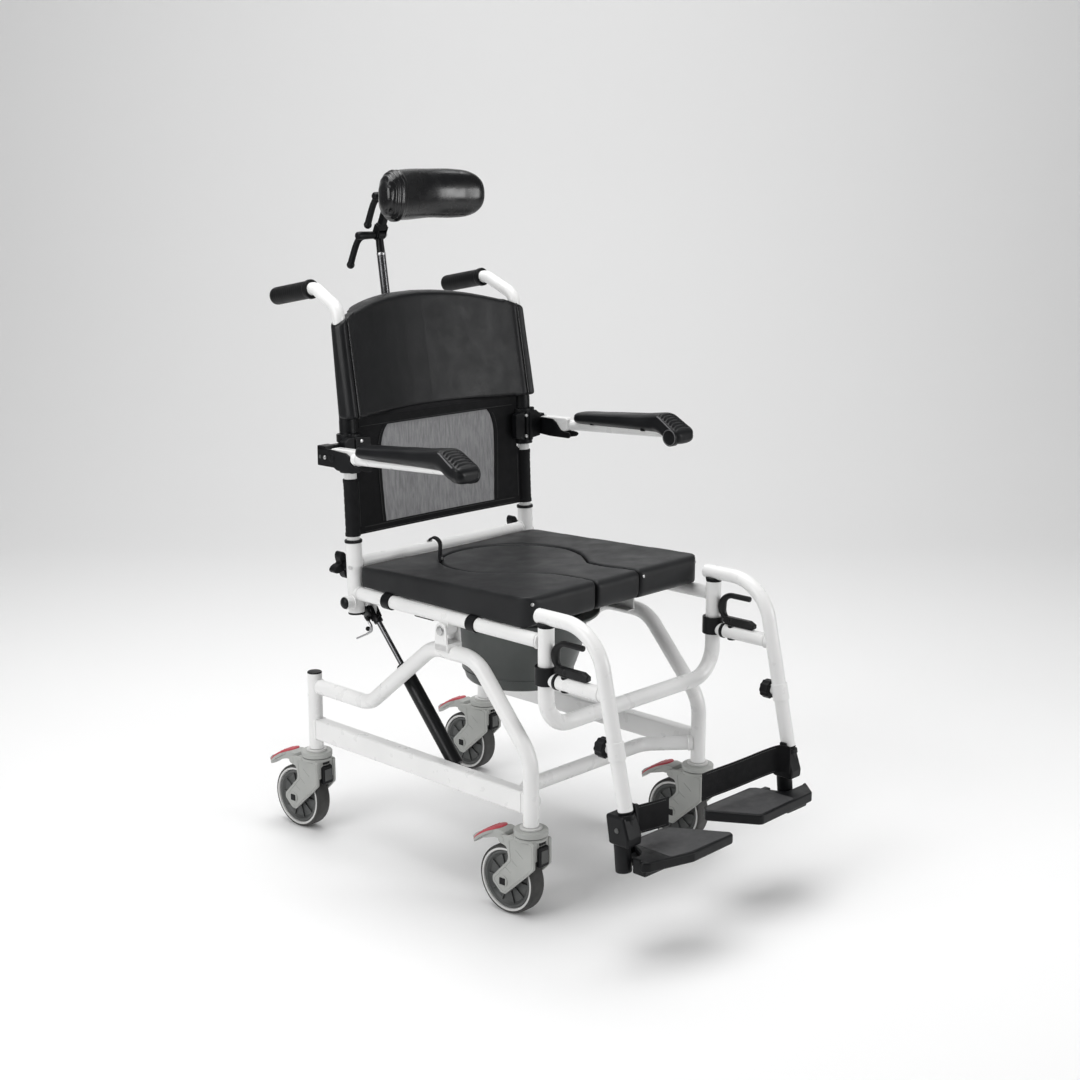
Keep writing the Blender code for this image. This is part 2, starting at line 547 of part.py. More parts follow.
BAR_Z = 0.930
bar_path = [(-CANE_X, cane_y(BAR_Z), BAR_Z), (-0.150, 0.285, BAR_Z), (0.150, 0.285, BAR_Z),
            (CANE_X, cane_y(BAR_Z), BAR_Z)]
for side, s in SIDES:
    part(cane_tube(s, CANE_R, 3), "cane_" + side, WHITE, (s * CANE_X, cane_y(0.55), 0.55))
    g0, g1 = Vector((s * GRIP_X, 0.2760, 1.0507)), Vector((s * GRIP_X, 0.3850, 1.0310))
    d = (g1 - g0).normalized()
    grip = rod(g0, g1, 0.0165, 14)
    flange = rod(g0, g0 + d * 0.006, 0.0195, 14)
    grip = join(grip, flange)
    c0 = Vector((s * GRIP_X, 0.2660, 1.0525))
    c1 = Vector((s * GRIP_X, 0.3800, 1.0319))
    dc = (c1 - c0).normalized()
    grip = cut(grip, rod(c0 - dc * 0.01, c1 + dc * 0.0006, CANE_R + 0.0005, 12))
    part(grip, "grip_" + side, BLACK, g0)


def mast_y(z):
    return HEAD_LOW[0] + (z - HEAD_LOW[1]) * MAST_LEAN


bar = tube(bar_path, 0.0110, (0.050, 0.050), 3, 3)
block = box(-0.021, 0.021, 0.278, 0.3255, 0.904, 0.956, 0.003)
bar = join(bar, block)
bar = cut(bar, rod((0, mast_y(0.86), 0.86), (0, mast_y(1.0), 1.0), 0.0081, 12),
          cane_tube(-1, CANE_R + 0.0007), cane_tube(1, CANE_R + 0.0007))
# the ends past the canes fall away with this trim
bar = cut(bar, box(-0.26, -CANE_X, 0.1, 0.3, 0.90, 0.96), box(CANE_X, 0.26, 0.1, 0.3, 0.90, 0.96))
part(bar, "back_crossbar", WHITE, (0, 0.285, BAR_Z))


def back_pad():
    """Wrapped upper pad: hollow in the middle, crowned on top, leaning back, open round the canes."""
    half = [(0.0, 1.0380), (0.060, 1.0355), (0.115, 1.0290), (0.165, 1.0190), (0.200, 1.0100),
            (0.2273, 0.9985), (0.2345, 0.9900)]
    stations = [(-x, t) for x, t in half[:0:-1]] + half
    levels = 5
    bm = bmesh.new()
    rows = []
    for x, top in stations:
        front, back = [], []
        for k in range(levels + 1):
            z = 0.8235 + (top - 0.8235) * k / levels
            cy = cane_y(z)
            y = 0.146 + (z - 0.827) * 0.171 + 0.042 * (1 - (x / 0.227) ** 2)
            if abs(x) > 0.23:
                ys = (cy - 0.004, cy + 0.001)
            elif abs(x) > 0.22:
                ys = (y, cy + 0.0055)
            elif abs(x) > 0.19:
                ys = (y, cy + 0.0160)
            else:
                ys = (y, y + 0.040)
            front.append(bm.verts.new((x, ys[0], z)))
            back.append(bm.verts.new((x, ys[1], z)))
        rows.append((front, back))
    for (fa, ba), (fb, bb) in zip(rows, rows[1:]):
        for k in range(levels):
            bm.faces.new((fa[k], fb[k], fb[k + 1], fa[k + 1]))
            bm.faces.new((bb[k], ba[k], ba[k + 1], bb[k + 1]))
        bm.faces.new((fa[0], ba[0], bb[0], fb[0]))
        bm.faces.new((fa[levels], fb[levels], bb[levels], ba[levels]))
    for f, b in (rows[0], rows[-1]):
        for k in range(levels):
            bm.faces.new((f[k], f[k + 1], b[k + 1], b[k]))
    return from_bmesh(bm, "back_pad")


pad = back_pad()
pad = cut(pad, cane_tube(-1, CANE_R + 0.0012), cane_tube(1, CANE_R + 0.0012),
          tube(bar_path, 0.0125, (0.050, 0.050), 3, 3))
part(pad, "back_pad", PU, (0, 0.18, 0.8235))

SLEEVE = (0.6068, 0.7130)
sheet = slab([(cane_y(0.607) - 0.0015, 0.607), (cane_y(0.607) + 0.0015, 0.607),
              (cane_y(0.8215) + 0.0015, 0.8215), (cane_y(0.8215) - 0.0015, 0.8215)],
             -0.2135, 0.2135, 'YZ')
sleeves = [rod((s * CANE_X, cane_y(SLEEVE[0]), SLEEVE[0]), (s * CANE_X, cane_y(SLEEVE[1]), SLEEVE[1]), 0.0134, 14)
           for s in (-1, 1)]
sheet = join(sheet, *sleeves)
collars = [rod((s * CANE_X, cane_y(0.72), 0.72), (s * CANE_X, cane_y(0.829), 0.829), 0.0225, 12) for s in (-1, 1)]
fat = [rod((s * CANE_X, cane_y(0.58), 0.58), (s * CANE_X, cane_y(0.829), 0.829), CANE_R + 0.0005, 14) for s in (-1, 1)]
sheet = cut(sheet, *(collars + fat))
part(sheet, "mesh_back", MESH, (0, 0.17, 0.607))

# ------------------------------------------------------------------ socket knobs
for side, s in SIDES:
    kx, kz = s * CANE_X, 0.547
    lobes = []
    for k in range(24):
        a = 2 * math.pi * k / 24
        r = 0.0195 + 0.0080 * math.cos(4 * (a - math.radians(17)))
        lobes.append((kx + r * math.cos(a), kz + r * math.sin(a)))
    star = slab(lobes, 0.1905, 0.2080, 'XZ')
    boss = rod((kx, 0.1820, kz), (kx, 0.1910, kz), 0.0085, 12)
    stem = rod((kx, 0.1784, kz), (kx, 0.1950, kz), 0.0029, 8)
    part(join(star, boss, stem), "star_knob_" + side, BLACK, (kx, 0.19, kz))

# ------------------------------------------------------------------ arms
ay, az = ARM_PIVOT
for side, s in SIDES:
    cx = s * CANE_X
    collar = rod((cx, cane_y(0.7255), 0.7255), (cx, cane_y(0.790), 0.790), 0.0190, 14)
    flange = rod((cx, cane_y(0.7815), 0.7815), (cx, cane_y(0.7965), 0.7965), 0.0215, 14)
    upper = rod((cx, cane_y(0.790), 0.790), (cx, cane_y(0.8210), 0.8210), 0.0158, 14)
    block = box(s * 0.2300, s * 0.2845, 0.1700, 0.1915, 0.7435, 0.7785, 0.003)
    cheek = [(0.176, 0.7765), (0.121, 0.7755), (0.1110, 0.7690), (0.1010, 0.7570), (0.0900, 0.7530),
             (0.0760, 0.7525), (0.0710, 0.7465), (0.0780, 0.7415), (0.1270, 0.7405), (0.176, 0.7450)]
    outer = slab(cheek, s * 0.2808, s * 0.2842, 'YZ')
    inner = slab(cheek, s * 0.2560, s * 0.2594, 'YZ')
    pin = rod((s * 0.2580, ay, az), (s * 0.2820, ay, az), 0.0040, 10)
    clamp = join(collar, flange, upper, block, outer, inner, pin)
    clamp = cut(clamp, rod((cx, cane_y(0.70), 0.70), (cx, cane_y(0.83), 0.83), CANE_R + 0.0004, 14))
    part(clamp, "arm_clamp_" + side, BLACK, (cx, ay, az))

    holder = slab(circle(ay, az, 0.0170, -90, 90, 8) + [(0.0860, 0.7800), (0.0840, 0.7780), (0.0840, 0.7570),
                  (0.0900, 0.7540), (0.128, 0.7450)], s * 0.2600, s * 0.2802, 'YZ')
    armt = rod((s * 0.2765, 0.0900, 0.7651), (s * 0.2765, -0.1700, 0.7785), 0.0108, 12)
    arm = join(holder, armt)
    arm = cut(arm, rod((s * 0.24, ay, az), (s * 0.30, ay, az), 0.0046, 10))
    part(arm, "arm_tube_" + side, WHITE, (s * ARM_X, ay, az))

    prof = [(0.0770, 0.7700), (0.0770, 0.7890), (0.0700, 0.7925), (-0.0500, 0.8010), (-0.1350, 0.8110),
            (-0.1700, 0.8165), (-0.1900, 0.8120), (-0.2150, 0.7980), (-0.2230, 0.7900), (-0.2200, 0.7780),
            (-0.2050, 0.7600), (-0.1900, 0.7590), (-0.1500, 0.7740)]
    rest = slab(prof, s * (ARM_X - 0.0300), s * (ARM_X + 0.0300), 'YZ')
    plan = []
    for qx, qy, r, a0 in ((0.0025, 0.0532, 0.0240, 0), (-0.0025, 0.0532, 0.0240, 90),
                          (-0.0005, -0.1972, 0.0260, 180), (0.0005, -0.1972, 0.0260, 270)):
        plan += [(s * ARM_X + x, y) for x, y in circle(qx, qy, r, a0, a0 + 90, 4)]
    rest = boolean(rest, [slab(plan, 0.74, 0.84)], 'INTERSECT')
    rest = cut(rest, rod((s * 0.2765, 0.160, 0.7615), (s * 0.2765, -0.1708, 0.7785), 0.0112, 12))
    part(rest, "arm_pad_" + side, PU, (s * ARM_X, 0.077, 0.78))

# ------------------------------------------------------------------ headrest
ly, lz = HEAD_LOW
uy, uz = HEAD_UP
mast = rod((0, mast_y(0.840), 0.840), (0, mast_y(1.1335), 1.1335), 0.0075, 12)
barrel = rod((-0.0080, ly, lz), (0.0080, ly, lz), 0.0100, 14)
mast = join(mast, barrel)
mast = cut(mast, rod((-0.02, ly, lz), (0.02, ly, lz), 0.0036, 10))
part(mast, "headrest_mast", STEEL, (0, ly, lz))

link_dir = Vector((0, uy - ly, uz - lz)).normalized()
link_perp = Vector((0, link_dir.z, -link_dir.y))
LOWP, UPP = Vector((0, ly, lz)), Vector((0, uy, uz))
link_len = (UPP - LOWP).length


def strip(a, b, w, x0, x1):
    pts = [LOWP + link_dir * a - link_perp * w, LOWP + link_dir * b - link_perp * w,
           LOWP + link_dir * b + link_perp * w, LOWP + link_dir * a + link_perp * w]
    return slab([(p.y, p.z) for p in pts], x0, x1, 'YZ')


linkb = strip(0.0250, link_len - 0.0045, 0.0078, -0.0078, 0.0078)
cheeks = [strip(0.0115, 0.0330, 0.0088, -0.0112, 0.0112)]
for x0, x1 in ((0.0086, 0.0130), (-0.0130, -0.0086)):
    cheeks.append(strip(0.0, 0.0320, 0.0095, x0, x1))
    cheeks.append(rod((x0 + 0.0001, ly, lz), (x1 - 0.0001, ly, lz), 0.0099, 14))
eye = rod((-0.0080, uy, uz), (0.0080, uy, uz), 0.0100, 14)
linkb = join(linkb, eye, *cheeks)
linkb = cut(linkb, rod((-0.03, ly, lz), (0.03, ly, lz), 0.0036, 10),
            rod((-0.03, uy, uz), (0.03, uy, uz), 0.0036, 10))
part(linkb, "headrest_link", BLACK, (0, ly, lz))


def kip_lever(y, z, x_out, x_arm, dy, dz):
    hub = rod((-0.0136, y, z), (x_out, y, z), 0.0065, 12)
    stud = rod((-0.0150, y, z), (0.0160, y, z), 0.0030, 10)
    arm = tube([(x_arm, y, z), (x_arm, y + dy * 0.35, z + dz * 0.28), (x_arm, y + dy, z + dz)], 0.0048, None, 4, 2)
    return join(hub, stud, arm)


part(kip_lever(ly, lz, -0.0550, -0.0480, 0.0300, -0.0580), "headrest_lever_lower", BLACK, (0, ly, lz))
part(kip_lever(uy, uz, -0.0400, -0.0330, 0.0280, -0.0560), "headrest_lever_upper", BLACK, (0, uy, uz))

bm = bmesh.new()
bmesh.ops.create_uvsphere(bm, u_segments=14, v_segments=8, radius=1.0)
bmesh.ops.rotate(bm, verts=bm.verts[:], cent=(0, 0, 0), matrix=Matrix.Rotation(math.pi / 2, 3, 'Y'))
for v in bm.verts:
    x = math.copysign(abs(v.co.x) ** 0.75, v.co.x)
    w = (1 - abs(x) ** 3.2) ** (1 / 3.2) if abs(x) < 1 else 0.0
    rr = math.hypot(v.co.y, v.co.z)
    cy, cz = (v.co.y / rr, v.co.z / rr) if rr > 1e-6 else (0.0, 0.0)
    v.co = (0.122 * x, 0.212 + 0.031 * cy * w - 0.030 * x * x, 1.2175 + 0.0475 * cz * w)
bmesh.ops.remove_doubles(bm, verts=bm.verts[:], dist=0.00001)
pad = from_bmesh(bm, "pad")
bracket = rod((0, 0.225, uz), (0, uy - 0.0130, uz), 0.0100, 12)
cheeks = []
for x0, x1 in ((0.0086, 0.0130), (-0.0130, -0.0086)):
    cheeks.append(box(x0, x1, uy - 0.0280, uy, uz - 0.0090, uz + 0.0090))
    cheeks.append(rod((x0 + 0.0001, uy, uz), (x1 - 0.0001, uy, uz), 0.0098, 14))
yoke = box(-0.0125, 0.0125, uy - 0.0300, uy - 0.0130, uz - 0.0086, uz + 0.0086)
pad = join(pad, bracket, yoke, *cheeks)
pad = cut(pad, rod((-0.03, uy, uz), (0.03, uy, uz), 0.0036, 10))
part(pad, "headrest_pad", PU, (0, uy, uz))


# ------------------------------------------------------------------ leg rests
def lean_y(z):
    return HANGER_LOW[0] + (z - HANGER_LOW[1]) * TUBE_LEAN


PLATES = {
    "right": [(-0.016, -0.573), (-0.078, -0.472), (-0.102, -0.466), (-0.166, -0.466), (-0.176, -0.474),
              (-0.196, -0.5115), (-0.232, -0.541), (-0.219, -0.552), (-0.135, -0.576)],
    "left": [(0.020, -0.474), (0.036, -0.457), (0.166, -0.457), (0.176, -0.465), (0.196, -0.5165),
             (0.245, -0.5165), (0.262, -0.512), (0.2270, -0.5530), (0.072, -0.558)],
}
for side, s in SIDES:
    hx = s * HANGER_X
    lx = s * LEG_X
    hanger = tube([(hx, -0.303, HANGER_TOP_Z), (hx, HANGER_CORNER_Y, HANGER_TOP_Z),
                   (hx, HANGER_LOW[0], HANGER_LOW[1])], 0.0128, (0.086,), 5, 3)
    pin = rod((lx, LEG_Y, 0.4720), (lx, LEG_Y, HANGER_TOP_Z), 0.0080, 12)
    washer = rod((lx, LEG_Y, LEG_TOP + GAP), (lx, LEG_Y, HANGER_TOP_Z - 0.006), 0.0125, 12)
    strut = rod((hx, LEG_Y - 0.010, 0.437), (hx, lean_y(0.437) + 0.004, 0.437), 0.0125, 12)
    saddle = rod((lx, LEG_Y, 0.4275), (lx, LEG_Y, 0.4600), 0.0195, 16)
    hanger = join(hanger, pin, washer, strut, saddle)
    low = Vector((hx, HANGER_LOW[0], HANGER_LOW[1]))
    up = Vector((0, TUBE_LEAN, 1)).normalized()
    ky = lean_y(0.348)
    hanger = cut(hanger, rod((lx, LEG_Y, 0.40), (lx, LEG_Y, 0.470), LEG_R + GAP + 0.0003, 16),
                 box(hx - 0.03, hx + 0.03, LEG_Y + 0.0045, LEG_Y + 0.03, 0.42, 0.465),
                 rod(low - up * 0.01, low + up * 0.186, 0.0108, 12),
                 rod((hx, ky, 0.348), (hx, ky + 0.03, 0.348), 0.0034, 8),
                 rod((hx, -0.367, 0.4400), (hx, -0.367, 0.4520), 0.0040, 8))
    part(hanger, "hanger_" + side, WHITE, (lx, LEG_Y, HANGER_TOP_Z))

    c = tube([(hx, -0.425, 0.4575), (hx, -0.3430, 0.4575), (hx, -0.3430, 0.5055), (hx, -0.407, 0.5055)],
             0.0052, (0.0238, 0.0238), 4, 2)
    peg = rod((hx, -0.367, 0.4405), (hx, -0.367, 0.4575), 0.0034, 8)
    part(join(c, peg), "latch_" + side, BLACK, (hx, -0.367, 0.4575))

    disc = rod((hx, ky + 0.0175, 0.348), (hx, ky + 0.0365, 0.348), 0.0165, 16)
    stem = rod((hx, ky + 0.0115, 0.348), (hx, ky + 0.0200, 0.348), 0.0029, 8)
    part(join(disc, stem), "height_knob_" + side, BLACK, (hx, ky + 0.02, 0.348))

    inner = rod(low + up * 0.180, low - up * 0.075, 0.0101, 12)
    housing = slab([(-0.4715, 0.2450), (-0.4800, 0.1945), (-0.5215, 0.1945), (-0.5225, 0.2100), (-0.5105, 0.2450)],
                   s * 0.2045, s * 0.2402, 'YZ')
    tall = slab([(-0.4930, 0.2610), (-0.4950, 0.2300), (-0.5160, 0.2300), (-0.5072, 0.2610)],
                s * 0.2047, s * 0.2165, 'YZ')
    stub = rod((s * 0.2220, -0.4930, 0.200), (s * 0.2220, -0.4985, 0.145), 0.0140, 12)
    lug = box(s * 0.1840, s * 0.2200, -0.4880, -0.5060, 0.1525, 0.1655)
    nose = rod((s * PLATE_AXIS_X, -0.4880, PLATE_AXIS_Z), (s * PLATE_AXIS_X, -0.5060, PLATE_AXIS_Z), 0.0065, 12)
    axis = rod((s * PLATE_AXIS_X, -0.4770, PLATE_AXIS_Z), (s * PLATE_AXIS_X, -0.5250, PLATE_AXIS_Z), 0.0030, 10)
    foot = join(inner, housing, tall, stub, lug, nose, axis)
    part(foot, "footrest_tube_" + side, BLACK, low)

    plate = slab(PLATES[side], 0.1570, 0.1750)
    thick = box(s * 0.1660, s * 0.2230, -0.5170, -0.5450, 0.1475, 0.1745, 0.003)
    knuckle = box(s * 0.1680, s * 0.1920, -0.4740, -0.4865, 0.1525, 0.1750)
    front = box(s * 0.1680, s * 0.1920, -0.5075, -0.5300, 0.1525, 0.1750)
    plate = join(plate, thick, knuckle, front)
    plate = cut(plate, box(s * 0.1752, s * 0.2600, -0.4865, -0.5075, 0.13, 0.19),
                rod((s * PLATE_AXIS_X, -0.4700, PLATE_AXIS_Z), (s * PLATE_AXIS_X, -0.5265, PLATE_AXIS_Z), 0.0036, 10))
    part(plate, "footplate_" + side, BLACK, (s * PLATE_AXIS_X, -0.50, PLATE_AXIS_Z))

    if s < 0:
        band = [(-0.2042, -0.4870), (-0.1600, -0.4960), (-0.1180, -0.5030), (-0.1180, -0.5060), (-0.1600, -0.4990),
                (-0.2042, -0.4900)]
    else:
        band = [(0.2042, -0.4930), (0.1700, -0.4850), (0.0900, -0.4765), (0.0080, -0.4740), (0.0080, -0.4770),
                (0.0900, -0.4795), (0.1700, -0.4880), (0.2042, -0.4960)]
    part(slab(band, 0.1970, 0.2485), "heel_strap_" + side, BLACK, (s * 0.2042, -0.49, 0.22))

for o in list(CUTTERS.objects):
    bpy.data.objects.remove(o, do_unlink=True)
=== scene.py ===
import json
import math
import bmesh
import bpy
from mathutils import Matrix, Vector, noise


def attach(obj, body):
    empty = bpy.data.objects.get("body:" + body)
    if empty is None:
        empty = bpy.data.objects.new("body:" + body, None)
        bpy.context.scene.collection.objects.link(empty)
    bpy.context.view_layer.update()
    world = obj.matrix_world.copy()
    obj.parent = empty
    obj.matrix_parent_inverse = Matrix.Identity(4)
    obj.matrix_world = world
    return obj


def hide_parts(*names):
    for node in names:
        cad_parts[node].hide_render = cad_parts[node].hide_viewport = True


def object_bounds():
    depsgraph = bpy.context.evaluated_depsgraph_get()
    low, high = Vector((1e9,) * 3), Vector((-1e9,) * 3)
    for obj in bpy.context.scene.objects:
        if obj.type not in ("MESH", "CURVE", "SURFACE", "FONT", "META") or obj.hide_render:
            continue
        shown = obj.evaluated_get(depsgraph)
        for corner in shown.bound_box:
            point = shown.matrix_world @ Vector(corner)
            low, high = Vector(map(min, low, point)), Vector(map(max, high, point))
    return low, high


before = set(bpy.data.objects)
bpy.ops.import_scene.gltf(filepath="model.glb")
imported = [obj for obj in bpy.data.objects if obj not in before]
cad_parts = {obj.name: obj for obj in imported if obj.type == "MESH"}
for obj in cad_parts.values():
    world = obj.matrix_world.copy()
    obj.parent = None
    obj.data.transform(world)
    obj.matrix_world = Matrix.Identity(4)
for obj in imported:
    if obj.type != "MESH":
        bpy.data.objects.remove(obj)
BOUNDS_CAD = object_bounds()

# Pieces are drawn in metres in the base frame's own axes; Y0 moves them to the middle of the chair.
Y0 = 0.0783
SIDES = (("right", -1), ("left", 1))
WHITE, BLACK, FOAM, COVER, MESH, WEB = "white", "black", "foam", "cover", "mesh", "webbing"
PAN, CHROME, STEEL, FORK, TYRE, HUB, RING, RED, PAINT, RUBBER, SKIN, BOLT, GREY_INLAY_AND_HIGHLIGHT, DARK, TREAD_AND_TOP_LIGHT, SEAT_SHEEN_SKIN = (
    "pan", "chrome", "steel", "fork", "tyre", "hub", "ring", "red", "paint", "rubber", "skin", "bolt", "inlay", "dark", "tread", "seat")


# ------------------------------------------------------------------ materials
class Look:
    """A procedural material: small helpers round one Principled shader."""

    def __init__(self, name, color, rough, **extra):
        self.m = bpy.data.materials.new(name)
        self.m.use_nodes = True
        self.t = self.m.node_tree
        self.b = self.t.nodes["Principled BSDF"]
        self.b.inputs["Base Color"].default_value = (*color, 1.0)
        self.b.inputs["Roughness"].default_value = rough
        for k, v in extra.items():
            self.b.inputs[k.replace("_", " ")].default_value = v
        self.c = self.new("ShaderNodeTexCoord").outputs["Object"]
        self.x = self.new("ShaderNodeSeparateXYZ")
        self.put(self.c, self.x.inputs[0])
        self.normal = None

    def new(self, kind, **kw):
        n = self.t.nodes.new(kind)
        for k, v in kw.items():
            setattr(n, k, v)
        return n

    def put(self, a, b):
        self.t.links.new(a, b)

    def noise(self, scale, detail=2.0, rough=0.5, stretch=None):
        n = self.new("ShaderNodeTexNoise")
        n.inputs["Scale"].default_value = scale
        n.inputs["Detail"].default_value = detail
        n.inputs["Roughness"].default_value = rough
        if stretch:
            mp = self.new("ShaderNodeMapping")
            mp.inputs["Scale"].default_value = stretch
            self.put(self.c, mp.inputs["Vector"])
            self.put(mp.outputs[0], n.inputs["Vector"])
        else:
            self.put(self.c, n.inputs["Vector"])
        return n.outputs["Fac"]

    def cells(self, scale, feature='DISTANCE_TO_EDGE'):
        n = self.new("ShaderNodeTexVoronoi", feature=feature)
        n.inputs["Scale"].default_value = scale
        self.put(self.c, n.inputs["Vector"])
        return n.outputs["Distance"]

    def maths(self, op, a, b=None):
        n = self.new("ShaderNodeMath", operation=op)
        for i, v in enumerate((a, b)):
            if v is None:
                continue
            if isinstance(v, (int, float)):
                n.inputs[i].default_value = v
            else:
                self.put(v, n.inputs[i])
        return n.outputs[0]

    def sine(self, axis, period):
        return self.maths('SINE', self.maths('MULTIPLY', self.x.outputs[axis], 2 * math.pi / period))

    def fit(self, src, a, b, c, d):
        n = self.new("ShaderNodeMapRange")
        self.put(src, n.inputs[0])
        for i, v in enumerate((a, b, c, d)):
            n.inputs[i + 1].default_value = v
        return n.outputs[0]

    def mix(self, fac, a, b):
        n = self.new("ShaderNodeMix", data_type='RGBA')
        self.put(fac, n.inputs[0])
        for i, v in ((6, a), (7, b)):
            if isinstance(v, tuple):
                n.inputs[i].default_value = (*v, 1.0)
            else:
                self.put(v, n.inputs[i])
        return n.outputs[2]

    def color(self, out):
        self.put(out, self.b.inputs["Base Color"])
        return self

    def rough(self, out):
        self.put(out, self.b.inputs["Roughness"])
        return self

    def bump(self, height, distance, strength=1.0):
        n = self.new("ShaderNodeBump")
        n.inputs["Strength"].default_value = strength
        n.inputs["Distance"].default_value = distance
        self.put(height, n.inputs["Height"])
        if self.normal:
            self.put(self.normal, n.inputs["Normal"])
        self.normal = n.outputs[0]
        self.put(self.normal, self.b.inputs["Normal"])
        return self


def plastic(name, a, b, r0, r1, grain=1400, depth=0.00004, **extra):
    k = Look(name, a, r0, **extra)
    k.color(k.mix(k.fit(k.noise(14, 4), 0.35, 0.65, 0, 1), a, b))
    k.rough(k.fit(k.noise(60, 3), 0.3, 0.7, r0, r1))
    k.bump(k.noise(grain, 2), depth)
    return k


